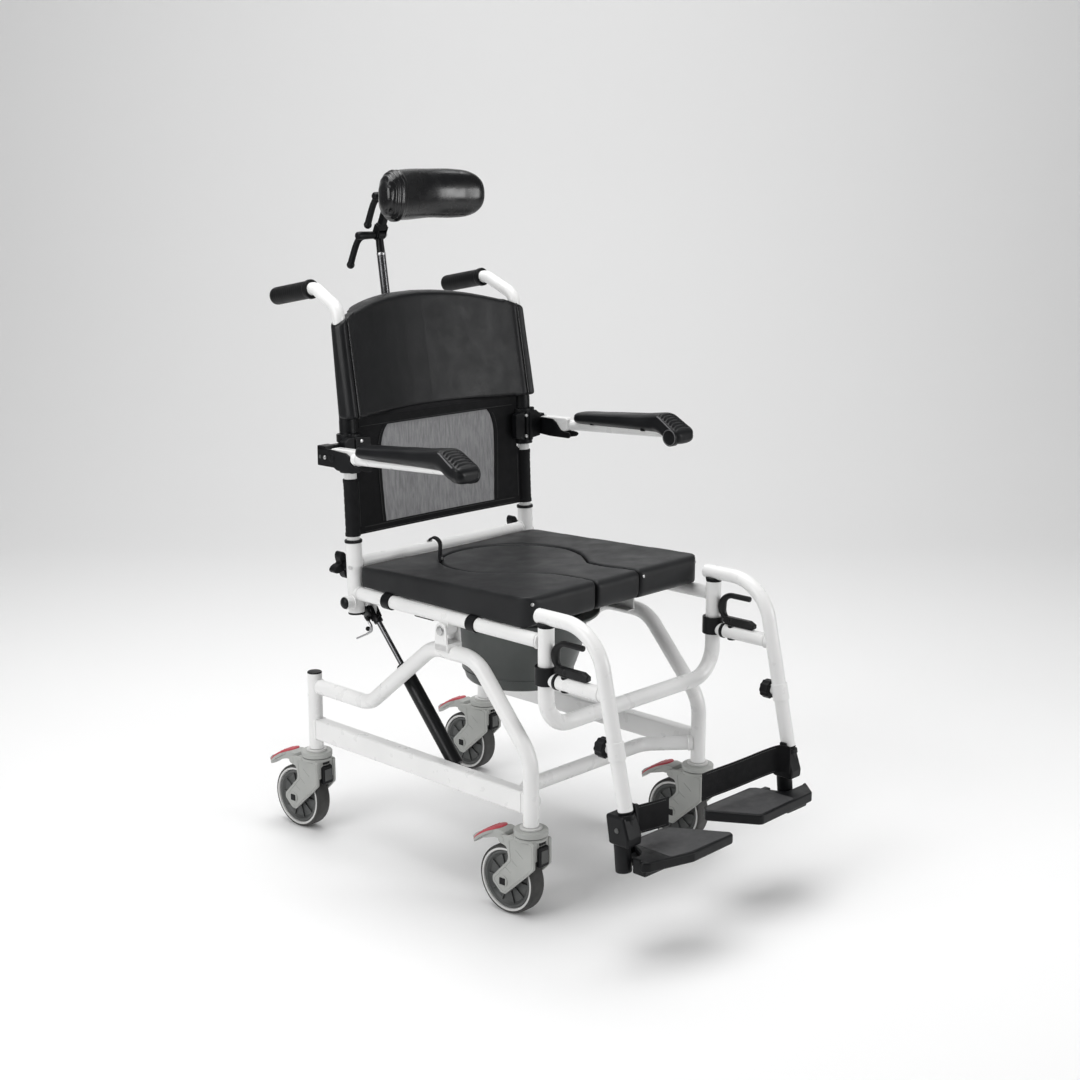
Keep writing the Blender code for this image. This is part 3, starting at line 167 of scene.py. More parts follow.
def make_looks():
    looks = {}
    # stoved powder coat: orange peel, a little variation, and painted shade darkening the inner corners
    k = Look("powder_coat_white", (0.80, 0.80, 0.79), 0.30, Coat_Weight=0.12, Coat_Roughness=0.12)
    base = k.mix(k.fit(k.noise(7, 4), 0.35, 0.65, 0, 1), (0.755, 0.755, 0.752), (0.815, 0.815, 0.808))
    point = k.new("ShaderNodeNewGeometry").outputs["Pointiness"]
    # painted shade: low pointiness (concave corners) mixes in a warm grey, broken up by noise
    painted_corner_shade = k.maths('MULTIPLY', k.fit(point, 0.41, 0.492, 1, 0), k.fit(k.noise(40, 5), 0.35, 0.7, 0.15, 0.75))
    base = k.mix(painted_corner_shade, base, (0.50, 0.49, 0.46))
    k.color(base)
    k.rough(k.fit(k.noise(32, 4), 0.3, 0.7, 0.25, 0.38))
    k.bump(k.noise(650, 2), 0.00006, 0.8)
    looks[WHITE] = k
    looks[BLACK] = plastic("moulded_plastic_black", (0.0034, 0.0037, 0.0044), (0.0066, 0.0070, 0.0080), 0.34, 0.48, Specular_IOR_Level=0.20)
    looks[PAINT] = plastic("painted_black", (0.0036, 0.0038, 0.0043), (0.0062, 0.0064, 0.0072), 0.28, 0.42, 800, 0.00003, Specular_IOR_Level=0.28)
    looks[RUBBER] = plastic("rubber_black", (0.0036, 0.0038, 0.0043), (0.0064, 0.0066, 0.0072), 0.42, 0.58, 1100, 0.00005, Specular_IOR_Level=0.20)
    # integral skin foam: leather like grain and faint smears; the seat's copy has a lighter base colour, a painted
    # sheen for the seat top
    for key, name, lo, hi, level in ((FOAM, "foam_skin_black", (0.0036, 0.0039, 0.0047), (0.0066, 0.0070, 0.0082), 0.26),
                                     (SEAT_SHEEN_SKIN, "seat_skin_painted_sheen", (0.0078, 0.0082, 0.0092), (0.0132, 0.0137, 0.0148), 0.28)):
        k = Look(name, lo, 0.40, Specular_IOR_Level=level)
        k.color(k.mix(k.fit(k.noise(9, 5), 0.3, 0.7, 0, 1), lo, hi))
        k.rough(k.fit(k.noise(24, 4), 0.3, 0.7, 0.33 if key == FOAM else 0.43, 0.47 if key == FOAM else 0.56))
        k.bump(k.cells(620), 0.00009, 0.55).bump(k.noise(90, 3), 0.00018, 0.5)
        looks[key] = k
    # coated stretch cover: fine knit under the coating
    k = Look("coated_cover_black", (0.008, 0.0085, 0.010), 0.46, Specular_IOR_Level=0.30, Sheen_Weight=0.01)
    k.color(k.mix(k.fit(k.noise(11, 4), 0.3, 0.7, 0, 1), (0.0034, 0.0037, 0.0045), (0.0062, 0.0066, 0.0078)))
    k.rough(k.fit(k.noise(36, 3), 0.3, 0.7, 0.34, 0.46))
    k.bump(k.maths('MULTIPLY', k.sine(0, 0.0009), k.sine(2, 0.0011)), 0.00005, 0.6).bump(k.noise(120, 3), 0.00022, 0.5)
    looks[COVER] = k
    # glossy headrest skin
    k = Look("glossy_skin_black", (0.006, 0.006, 0.007), 0.24, Specular_IOR_Level=0.42, Coat_Weight=0.12, Coat_Roughness=0.12)
    k.color(k.mix(k.fit(k.noise(16, 4), 0.3, 0.7, 0, 1), (0.0030, 0.0031, 0.0036), (0.0054, 0.0056, 0.0064)))
    k.rough(k.fit(k.noise(50, 3), 0.3, 0.7, 0.20, 0.32))
    k.bump(k.noise(38, 3), 0.00030, 0.5).bump(k.cells(900), 0.00003, 0.4)
    looks[SKIN] = k
    # open mesh of the sling: fine vertical ribs crossed by a thinner yarn
    k = Look("sling_mesh_grey", (0.20, 0.20, 0.205), 0.85, Specular_IOR_Level=0.3, Sheen_Weight=0.1)
    ribs = k.fit(k.sine(0, 0.0020), -0.6, 0.8, 0, 1)
    yarn = k.fit(k.sine(2, 0.0017), -0.9, 0.6, 0, 1)
    thread = k.maths('MULTIPLY', k.maths('ADD', k.maths('MULTIPLY', ribs, 0.72), 0.28), k.maths('ADD', k.maths('MULTIPLY', yarn, 0.45), 0.55))
    tone = k.maths('MULTIPLY', thread, k.fit(k.noise(210, 3, 0.6, (1, 1, 0.16)), 0.32, 0.68, 0.62, 1.22))
    k.color(k.mix(tone, (0.085, 0.085, 0.090), (0.560, 0.560, 0.570)))
    k.bump(thread, 0.0005, 0.8)
    looks[MESH] = k
    # woven hems, bands and straps: twill
    k = Look("webbing_black", (0.008, 0.008, 0.009), 0.62, Specular_IOR_Level=0.18)
    diag = k.maths('SINE', k.maths('MULTIPLY', k.maths('ADD', k.maths('ADD', k.x.outputs[0], k.x.outputs[1]), k.x.outputs[2]), 2 * math.pi / 0.0016))
    k.color(k.mix(k.fit(diag, -1, 1, 0, 1), (0.0030, 0.0030, 0.0035), (0.0080, 0.0082, 0.0094)))
    k.rough(k.fit(k.noise(60, 3), 0.3, 0.7, 0.55, 0.70))
    k.bump(k.maths('MULTIPLY', diag, k.sine(2, 0.0013)), 0.00016, 0.7)
    looks[WEB] = k
    looks[PAN] = plastic("pan_plastic", (0.056, 0.062, 0.060), (0.070, 0.077, 0.074), 0.34, 0.46, 700, 0.00005)
    looks[FORK] = plastic("caster_fork_grey", (0.345, 0.352, 0.338), (0.395, 0.402, 0.386), 0.38, 0.50, 900, 0.00006)
    looks[RING] = plastic("caster_light_ring", (0.56, 0.56, 0.55), (0.63, 0.63, 0.62), 0.40, 0.52, 900, 0.00005)
    looks[TYRE] = plastic("tyre_rubber", (0.030, 0.030, 0.029), (0.048, 0.047, 0.045), 0.55, 0.72, 500, 0.0001)
    looks[HUB] = plastic("wheel_hub_grey", (0.058, 0.061, 0.060), (0.072, 0.075, 0.073), 0.40, 0.52, 900, 0.00006)
    looks[RED] = plastic("pedal_red", (0.42, 0.042, 0.060), (0.48, 0.055, 0.075), 0.36, 0.48, 1000, 0.00006)
    # textured tread; its grey, lighter than the black plate, is partly painted light on the footplate top
    looks[TREAD_AND_TOP_LIGHT] = plastic("footplate_tread", (0.044, 0.044, 0.046), (0.060, 0.060, 0.062), 0.50, 0.64, 420, 0.00016, Specular_IOR_Level=0.30)
    # grey used for the palm inlay and as a painted highlight on the end plug's ring
    looks[GREY_INLAY_AND_HIGHLIGHT] = plastic("grey_inlay_and_painted_highlight", (0.075, 0.076, 0.080), (0.10, 0.10, 0.105), 0.40, 0.50, 1000, 0.00004)
    for key, name, col, r0, r1 in ((CHROME, "hard_chrome", (0.72, 0.72, 0.74), 0.09, 0.16),
                                   (STEEL, "satin_steel", (0.46, 0.46, 0.47), 0.28, 0.40),
                                   (DARK, "dark_chrome", (0.115, 0.115, 0.12), 0.22, 0.34),
                                   (BOLT, "zinc_bolt", (0.62, 0.62, 0.62), 0.30, 0.44)):
        k = Look(name, col, r0, Metallic=1.0)
        k.color(k.mix(k.fit(k.noise(80, 4), 0.3, 0.7, 0, 1), tuple(c * 0.88 for c in col), col))
        k.rough(k.fit(k.noise(240, 4, 0.6, (1, 1, 6)), 0.3, 0.7, r0, r1))
        k.bump(k.noise(900, 2, 0.5, (1, 1, 5)), 0.00002, 0.6)
        looks[key] = k
    return {k: v.m for k, v in looks.items()}


LOOKS = make_looks()


# ------------------------------------------------------------------ geometry
def cane_y(z):
    return 0.165 + (min(z, 0.83) - 0.55) * 0.038 + max(z - 0.83, 0.0) * 0.110


def arc(cy, cz, r, a0, a1, n=10):
    return [(cy + r * math.cos(math.radians(a0 + (a1 - a0) * k / n)),
             cz + r * math.sin(math.radians(a0 + (a1 - a0) * k / n))) for k in range(n + 1)]


def smooth(points, n=8, closed=False):
    """Catmull-Rom curve through the points."""
    p = [Vector(q) for q in points]
    out = []
    m = len(p)
    for i in range(m if closed else m - 1):
        if closed:
            a, b, c, d = p[(i - 1) % m], p[i], p[(i + 1) % m], p[(i + 2) % m]
        else:
            a, b, c, d = p[max(i - 1, 0)], p[i], p[i + 1], p[min(i + 2, m - 1)]
        for k in range(n):
            t = k / n
            out.append(0.5 * ((2 * b) + (c - a) * t + (2 * a - 5 * b + 4 * c - d) * t * t + (3 * b - a - 3 * c + d) * t ** 3))
    if not closed:
        out.append(p[-1])
    return out


def table(points):
    """A smooth function through (x, value) pairs."""
    pts = sorted(points)

    def f(x):
        if x <= pts[0][0]:
            return pts[0][1]
        if x >= pts[-1][0]:
            return pts[-1][1]
        for i in range(len(pts) - 1):
            if x <= pts[i + 1][0]:
                break
        x1, y1 = pts[i]
        x2, y2 = pts[i + 1]
        h = x2 - x1
        s = (y2 - y1) / h
        s0 = (y1 - pts[i - 1][1]) / (x1 - pts[i - 1][0]) if i else s
        s1 = (pts[i + 2][1] - y2) / (pts[i + 2][0] - x2) if i + 2 < len(pts) else s
        m1 = 0 if s * s0 <= 0 else (s + s0) / 2
        m2 = 0 if s * s1 <= 0 else (s + s1) / 2
        t = (x - x1) / h
        return ((2 * t ** 3 - 3 * t * t + 1) * y1 + (t ** 3 - 2 * t * t + t) * h * m1
                + (-2 * t ** 3 + 3 * t * t) * y2 + (t ** 3 - t * t) * h * m2)
    return f


def rounded(outline, radius, n=5):
    """A polygon with its corners rounded; radius is one number or one for each corner."""
    pts = [Vector((p[0], p[1])) for p in outline]
    m = len(pts)
    rad = radius if isinstance(radius, (list, tuple)) else [radius] * m
    out = []
    for i in range(m):
        a = pts[i - 1] - pts[i]
        b = pts[(i + 1) % m] - pts[i]
        la, lb = a.length, b.length
        a.normalize()
        b.normalize()
        half = a.angle(b) / 2
        r = rad[i]
        if r <= 0 or half > math.radians(88.5):
            out.append(tuple(pts[i]))
            continue
        tang = min(r / math.tan(half), la * 0.48, lb * 0.48)
        r = tang * math.tan(half)
        c = pts[i] + (a + b).normalized() * (r / math.sin(half))
        s = pts[i] + a * tang - c
        e = pts[i] + b * tang - c
        a0 = math.atan2(s.y, s.x)
        a1 = math.atan2(e.y, e.x)
        while a1 - a0 > math.pi:
            a1 -= 2 * math.pi
        while a1 - a0 < -math.pi:
            a1 += 2 * math.pi
        for k in range(n + 1):
            t = a0 + (a1 - a0) * k / n
            out.append((c.x + r * math.cos(t), c.y + r * math.sin(t)))
    return out


def inset(poly, d):
    """The closed polygon moved inwards by d."""
    m = len(poly)
    area = sum(poly[i - 1][0] * poly[i][1] - poly[i][0] * poly[i - 1][1] for i in range(m))
    sg = 1 if area > 0 else -1
    out = []
    for i in range(m):
        a, b, c = Vector(poly[i - 1][:2]), Vector(poly[i][:2]), Vector(poly[(i + 1) % m][:2])
        t = (c - a).normalized()
        nrm = Vector((-t.y, t.x)) * sg
        out.append((b.x + nrm.x * d, b.y + nrm.y * d))
    return out


def filleted(pts, radii, steps):
    pts = [Vector(p) for p in pts]
    out = [pts[0]]
    for i in range(1, len(pts) - 1):
        a = (pts[i - 1] - pts[i]).normalized()
        b = (pts[i + 1] - pts[i]).normalized()
        half = a.angle(b) / 2
        r = radii[i - 1]
        if r <= 0 or half > math.radians(89.5):
            out.append(pts[i])
            continue
        tangent = r / math.tan(half)
        centre = pts[i] + (a + b).normalized() * (r / math.sin(half))
        s = pts[i] + a * tangent - centre
        e = pts[i] + b * tangent - centre
        sweep = s.angle(e)
        axis = s.cross(e).normalized()
        for k in range(steps + 1):
            out.append(centre + Matrix.Rotation(sweep * k / steps, 3, axis) @ s)
    out.append(pts[-1])
    return out


def across(d):
    d = Vector(d).normalized()
    a = Vector((0, 0, 1)) if abs(d.z) < 0.9 else Vector((1, 0, 0))
    u = d.cross(a).normalized()
    return u, u.cross(d)


class Shape:
    """Vertices and faces of one piece, with a material for each face."""

    def __init__(self, place=None):
        self.v, self.f, self.m = [], [], []
        self.place = place or Matrix.Identity(4)

    def add(self, verts, faces, mat):
        n = len(self.v)
        self.v += [self.place @ Vector(p) for p in verts]
        self.f += [tuple(n + i for i in f) for f in faces]
        self.m += [mat] * len(faces)
        return self

    def loft(self, rings, mat, caps=True, ring=False):
        n, m = len(rings[0]), len(rings)
        f = []
        for i in range(m if ring else m - 1):
            for j in range(n):
                k = (j + 1) % n
                a, b = i * n, ((i + 1) % m) * n
                f.append((a + j, a + k, b + k, b + j))
        if caps and not ring:
            f.append(tuple(range(n))[::-1])
            f.append(tuple((m - 1) * n + j for j in range(n)))
        return self.add([p for r in rings for p in r], f, mat)

    def lathe(self, prof, o, d, mat, seg=40, ring=False, turn=0.0, lobes=None):
        o, d = Vector(o), Vector(d).normalized()
        u, w = across(d)
        rings = []
        for r, h in prof:
            r = max(r, 0.00002)
            rings.append([o + d * h + (u * math.cos(turn + 2 * math.pi * k / seg) + w * math.sin(turn + 2 * math.pi * k / seg))
                          * (r * (lobes(2 * math.pi * k / seg) if lobes else 1)) for k in range(seg)])
        return self.loft(rings, mat, ring=ring)

    def rod(self, p0, p1, r, mat, r2=None, seg=32, b=0.0006, turn=0.0):
        p0, p1 = Vector(p0), Vector(p1)
        L = (p1 - p0).length
        r2 = r if r2 is None else r2
        b = min(b, L * 0.3, r * 0.45)
        return self.lathe([(r - b, 0), (r - b * 0.3, b * 0.3), (r, b), (r2, L - b), (r2 - b * 0.3, L - b * 0.3), (r2 - b, L)],
                          p0, p1 - p0, mat, seg, turn=turn)

    def tube(self, pts, r, mat, radii=None, seg=28, steps=12, b=0.0006, closed=False, radius=None):
        path = filleted(pts, radii, steps) if radii else [Vector(p) for p in pts]
        m = len(path)
        tans = []
        for i in range(m):
            a = path[i - 1] if (i or closed) else path[0]
            c = path[(i + 1) % m] if (i < m - 1 or closed) else path[-1]
            tans.append((c - a).normalized())
        u, _ = across(tans[0])
        rings = []
        for i in range(m):
            u = (u - tans[i] * u.dot(tans[i])).normalized()
            w = tans[i].cross(u)
            rr = radius(i / (m - 1)) if radius else r
            rings.append((path[i], u.copy(), w, rr))
        def circle(c, u, w, rr):
            return [c + (u * math.cos(2 * math.pi * k / seg) + w * math.sin(2 * math.pi * k / seg)) * rr for k in range(seg)]
        out = [circle(*q) for q in rings]
        if closed:
            return self.loft(out, mat, ring=True)
        c, u, w, rr = rings[0]
        b0 = min(b, rr * 0.45)
        out[0] = circle(c + tans[0] * b0, u, w, rr)
        out = [circle(c, u, w, rr - b0), circle(c + tans[0] * b0 * 0.3, u, w, rr - b0 * 0.3)] + out
        c, u, w, rr = rings[-1]
        b0 = min(b, rr * 0.45)
        out[-1] = circle(c - tans[-1] * b0, u, w, rr)
        out += [circle(c - tans[-1] * b0 * 0.3, u, w, rr - b0 * 0.3), circle(c, u, w, rr - b0)]
        return self.loft(out, mat)

    def ribbon(self, pts, width, t, mat, b=None):
        """A strap along the points: width is a vector across it, t its thickness."""
        path = [Vector(p) for p in pts]
        wv = Vector(width)
        m = len(path)
        rings = []
        b = min(t * 0.35, 0.0008) if b is None else b
        wd = wv.normalized()
        hw = wv.length / 2
        for i in range(m):
            tan = (path[min(i + 1, m - 1)] - path[max(i - 1, 0)]).normalized()
            n = tan.cross(wd).normalized()
            h = t / 2
            q = [(hw - b, h), (hw - b * 0.3, h - b * 0.3), (hw, h - b), (hw, -h + b), (hw - b * 0.3, -h + b * 0.3), (hw - b, -h),
                 (-hw + b, -h), (-hw + b * 0.3, -h + b * 0.3), (-hw, -h + b), (-hw, h - b), (-hw + b * 0.3, h - b * 0.3), (-hw + b, h)]
            rings.append([path[i] + wd * x + n * y for x, y in q])
        return self.loft(rings, mat)

    def box(self, x0, x1, y0, y1, z0, z1, mat, b=0.0015, seg=2, rot=None):
        x0, x1 = min(x0, x1), max(x0, x1)
        y0, y1 = min(y0, y1), max(y0, y1)
        bm = bmesh.new()
        bmesh.ops.create_cube(bm, size=1.0)
        bmesh.ops.scale(bm, verts=bm.verts[:], vec=(x1 - x0, y1 - y0, z1 - z0))
        b = min(b, 0.45 * min(x1 - x0, y1 - y0, z1 - z0))
        if b > 0:
            bmesh.ops.bevel(bm, geom=bm.edges[:], offset=b, segments=seg, profile=0.5, affect='EDGES')
        c = Vector(((x0 + x1) / 2, (y0 + y1) / 2, (z0 + z1) / 2))
        bm.verts.index_update()
        vs = [c + (rot @ v.co if rot else v.co) for v in bm.verts]
        fs = [tuple(v.index for v in f.verts) for f in bm.faces]
        bm.free()
        return self.add(vs, fs, mat)

    def slab(self, out, lo, hi, plane, mat, b=0.001, seg=2, warp=None):
        lo, hi = min(lo, hi), max(lo, hi)
        bm = bmesh.new()
        def at(p, h):
            if plane == 'XY':
                return (p[0], p[1], h)
            if plane == 'YZ':
                return (h, p[0], p[1])
            return (p[0], h, p[1])
        low = [bm.verts.new(at(p, lo)) for p in out]
        top = [bm.verts.new(at(p, hi)) for p in out]
        m = len(out)
        bm.faces.new(low[::-1])
        bm.faces.new(top)
        for i in range(m):
            bm.faces.new((low[i], low[(i + 1) % m], top[(i + 1) % m], top[i]))
        bmesh.ops.recalc_face_normals(bm, faces=bm.faces[:])
        if b > 0:
            caps = [e for e in bm.edges if (e.verts[0] in low) == (e.verts[1] in low)]
            bmesh.ops.bevel(bm, geom=caps, offset=b, segments=seg, profile=0.5, affect='EDGES', clamp_overlap=True)
        bm.verts.index_update()
        vs = [warp(v.co) if warp else v.co.copy() for v in bm.verts]
        fs = [tuple(v.index for v in f.verts) for f in bm.faces]
        bm.free()
        return self.add(vs, fs, mat)

    def ball(self, c, r, mat, seg=28, rows=14, lo=-90, hi=90, axis=(0, 0, 1)):
        r = Vector(r) if isinstance(r, (tuple, Vector)) else Vector((r, r, r))
        c = Vector(c)
        rings = []
        for i in range(rows + 1):
            a = math.radians(max(min(lo + (hi - lo) * i / rows, 89.0), -89.0))
            rings.append([c + Vector((r.x * math.cos(a) * math.cos(2 * math.pi * k / seg),
                                      r.y * math.cos(a) * math.sin(2 * math.pi * k / seg), r.z * math.sin(a))) for k in range(seg)])
        return self.loft(rings, mat)

    def panel(self, P, nu, nv, t, mat, normal=(0, 1, 0)):
        """A thin closed sheet over P(u, v), u and v from 0 to 1."""
        n = Vector(normal) * (t / 2)
        v, f = [], []
        for sgn in (-1, 1):
            for i in range(nu + 1):
                for j in range(nv + 1):
                    v.append(Vector(P(i / nu, j / nv)) + n * sgn)
        N = (nu + 1) * (nv + 1)
        def at(i, j, k):
            return k * N + i * (nv + 1) + j
        for i in range(nu):
            for j in range(nv):
                f.append((at(i, j, 0), at(i, j + 1, 0), at(i + 1, j + 1, 0), at(i + 1, j, 0)))
                f.append((at(i, j, 1), at(i + 1, j, 1), at(i + 1, j + 1, 1), at(i, j + 1, 1)))
        for i in range(nu):
            f.append((at(i, 0, 0), at(i + 1, 0, 0), at(i + 1, 0, 1), at(i, 0, 1)))
            f.append((at(i, nv, 0), at(i, nv, 1), at(i + 1, nv, 1), at(i + 1, nv, 0)))
        for j in range(nv):
            f.append((at(0, j, 0), at(0, j, 1), at(0, j + 1, 1), at(0, j + 1, 0)))
            f.append((at(nu, j, 0), at(nu, j + 1, 0), at(nu, j + 1, 1), at(nu, j, 1)))
        return self.add(v, f, mat)


def mesh_of(name, verts, faces):
    me = bpy.data.meshes.new(name)
    me.from_pydata([tuple(v) for v in verts], [], faces)
    bm = bmesh.new()
    bm.from_mesh(me)
    bmesh.ops.recalc_face_normals(bm, faces=bm.faces[:])
    bm.to_mesh(me)
    bm.free()
    return me


def piece(name, shape, body, replaces=(), angle=33, main=None):
    """Makes one object for each material in the shape; the main one stands for the CAD nodes."""
    groups = {}
    for f, m in zip(shape.f, shape.m):
        groups.setdefault(m, []).append(f)
    main = main or next(iter(groups))
    made = {}
    for mat, faces in groups.items():
        used = sorted({i for f in faces for i in f})
        index = {i: k for k, i in enumerate(used)}
        me = mesh_of(name, [shape.v[i] for i in used], [tuple(index[i] for i in f) for f in faces])
        made[mat] = finish_piece(name if mat == main else name + "_" + mat, me, mat, body, angle)
    if replaces:
        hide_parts(*([replaces] if isinstance(replaces, str) else replaces))
    return made[main]


def finish_piece(name, me, mat, body, angle=33, shift=True):
    if shift:
        me.transform(Matrix.Translation((0, Y0, 0)))
    me.name = name
    me.materials.clear()
    me.materials.append(LOOKS[mat])
    me.shade_smooth()
    me.set_sharp_from_angle(angle=math.radians(angle))
    ob = bpy.data.objects.new(name, me)
    bpy.context.scene.collection.objects.link(ob)
    wn = ob.modifiers.new("normals", 'WEIGHTED_NORMAL')
    wn.keep_sharp = True
    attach(ob, body)
    return ob


def applied(ob):
    dg = bpy.context.evaluated_depsgraph_get()
    me = bpy.data.meshes.new_from_object(ob.evaluated_get(dg), depsgraph=dg)
    old = ob.data
    bpy.data.objects.remove(ob, do_unlink=True)
    bpy.data.meshes.remove(old)
    return me


def temp(me):
    ob = bpy.data.objects.new("work", me)
    bpy.context.scene.collection.objects.link(ob)
    return ob


def carved(shape, cutters=(), op='DIFFERENCE'):
    me = mesh_of("work", shape.v, shape.f)
    for c in cutters:
        ob = temp(me)
        tool = temp(mesh_of("tool", c.v, c.f))
        md = ob.modifiers.new("b", 'BOOLEAN')
        md.operation = op
        md.solver = 'EXACT'
        md.object = tool
        me = applied(ob)
        bpy.data.objects.remove(tool, do_unlink=True)
    return me


def softened(me, voxel, rounds):
    ob = temp(me)
    r = ob.modifiers.new("r", 'REMESH')
    r.mode = 'VOXEL'
    r.voxel_size = voxel
    s = ob.modifiers.new("s", 'SMOOTH')
    s.factor = 0.5
    s.iterations = rounds
    return applied(ob)


def moved(me, fn):
    for v in me.vertices:
        v.co = fn(v.co.copy())
    me.update()
    return me


# ------------------------------------------------------------------ base frame
SX = 0.2263
PY = 0.290
GAS_X, GAS_LOW, GAS_HEAD = -0.190, (-0.080, 0.197), (0.158, 0.4605)
PIV = (-0.087, 0.479)


def weld(S, c, d, r, bead=0.0014):
    """A weld bead round a tube of radius r at c, along direction d."""
    c, d = Vector(c), Vector(d).normalized()
    u, w = across(d)
    pts = []
    for k in range(36):
        a = 2 * math.pi * k / 36
        wob = 0.0003 * math.sin(9 * a)
        pts.append(c + (u * math.cos(a) + w * math.sin(a)) * (r + wob * 0.4) + d * wob)
    S.tube(pts, bead, WHITE, seg=10, closed=True)


def weld_loop(S, pts, bead=0.0013):
    S.tube(pts, bead, WHITE, seg=10, closed=True)


for side, s in SIDES:
    sx = s * SX
    S = Shape()
    S.box(s * 0.2138, s * 0.2388, -0.284, 0.284, 0.190, 0.229, WHITE, b=0.0035, seg=4)
    S.rod((sx, PY, 0.1683), (sx, PY, 0.3205), 0.014, WHITE, seg=40, b=0.0008)
    for y in (0.2768, -0.2768):
        loop = rounded([(s * 0.2136, 0.1898), (s * 0.2390, 0.1898), (s * 0.2390, 0.2292), (s * 0.2136, 0.2292)], 0.004, 4)
        weld_loop(S, [(x, y, z) for x, z in loop])
    S.lathe([(0.0132, 0), (0.0141, 0.0004), (0.0141, 0.0020), (0.0128, 0.0032), (0.006, 0.0036), (0, 0.0036)],
            (sx, PY, 0.3190), (0, 0, 1), BLACK)
    if s < 0:
        ly, lz = GAS_LOW
        S.rod((-0.216, ly, lz), (-0.1985, ly, lz), 0.0065, WHITE)
        S.rod((-0.2, ly, lz), (-0.1815, ly, lz), 0.004, STEEL)
        S.lathe([(0.0066, 0), (0.0066, 0.0008), (0.0060, 0.0012)], (-0.1838, ly, lz), (1, 0, 0), STEEL)
        weld(S, (-0.2130, ly, lz), (1, 0, 0), 0.0068, 0.0011)
    piece("side_rail_" + side, S, "base", "side_rail_" + side)

    S = Shape()
    path = [(sx, 0.2795, 0.294), (sx, 0.128, 0.294), (sx, -0.048, 0.438), (sx, -0.158, 0.438), (sx, -PY, 0.290), (sx, -PY, 0.1683)]
    S.tube(path, 0.014, WHITE, (0.060, 0.070, 0.070, 0.080), seg=40, steps=14)
    weld(S, (sx, 0.2765, 0.294), (0, 1, 0), 0.0142)
    # bracket for the tilt bolt
    S.box(s * 0.2083, s * 0.2443, -0.104, -0.070, 0.4400, 0.4562, WHITE, b=0.0022, seg=3)
    for x0, x1 in ((0.2403, 0.2443), (0.2083, 0.2123)):
        ear = rounded([(-0.1035, 0.4410), (-0.0705, 0.4410), (-0.0735, 0.4800), (-0.0765, 0.4915), (-0.0975, 0.4915), (-0.1005, 0.4800)],
                      [0.001, 0.001, 0.010, 0.009, 0.009, 0.010], 6)
        S.slab(ear, s * x0, s * x1, 'YZ', WHITE, b=0.0008)
    S.rod((s * 0.2045, *PIV), (s * 0.2480, *PIV), 0.004, BOLT)
    S.lathe([(0.0090, 0), (0.0092, 0.0003), (0.0092, 0.0010), (0.0088, 0.0013)], (s * 0.2444, *PIV), (s, 0, 0), BOLT)
    S.lathe([(0.0076, 0), (0.0078, 0.0006), (0.0078, 0.0030), (0.0066, 0.0036), (0.0001, 0.0037)], (s * 0.2452, *PIV), (s, 0, 0), BOLT, seg=6)
    S.lathe([(0.0074, 0), (0.0076, 0.0005), (0.0076, 0.0038), (0.0064, 0.0043)], (s * 0.2085, *PIV), (-s, 0, 0), BOLT, seg=6)
    for e in (-1, 1):
        yy = -0.087 + e * 0.0172
        S.tube([(s * 0.2160, yy, 0.4512), (s * 0.2263, yy, 0.4528), (s * 0.2366, yy, 0.4512)], 0.0012, WHITE, seg=10)
    piece("bent_tube_" + side, S, "base", "bent_tube_" + side)

S = Shape()
S.tube([(-0.2165, -0.2858, 0.2064), (-0.160, -0.210, 0.200), (0.160, -0.210, 0.200), (0.2165, -0.2858, 0.2064)], 0.0135, WHITE,
       (0.045, 0.045), seg=40, steps=14)
for s in (-1, 1):
    c = Vector((s * 0.2115, -0.2790, 0.2058))
    weld(S, c, (s * 0.0663, -0.089, 0.0075), 0.0137, 0.0015)
piece("front_crossbar", S, "base", "front_crossbar")

# ------------------------------------------------------------------ casters
TRAIL = 0.0438
AXLE_Z = 0.0625 * math.cos(math.pi / 28)
RV = AXLE_Z - 0.0001
PED = (0.048, 0.1375)


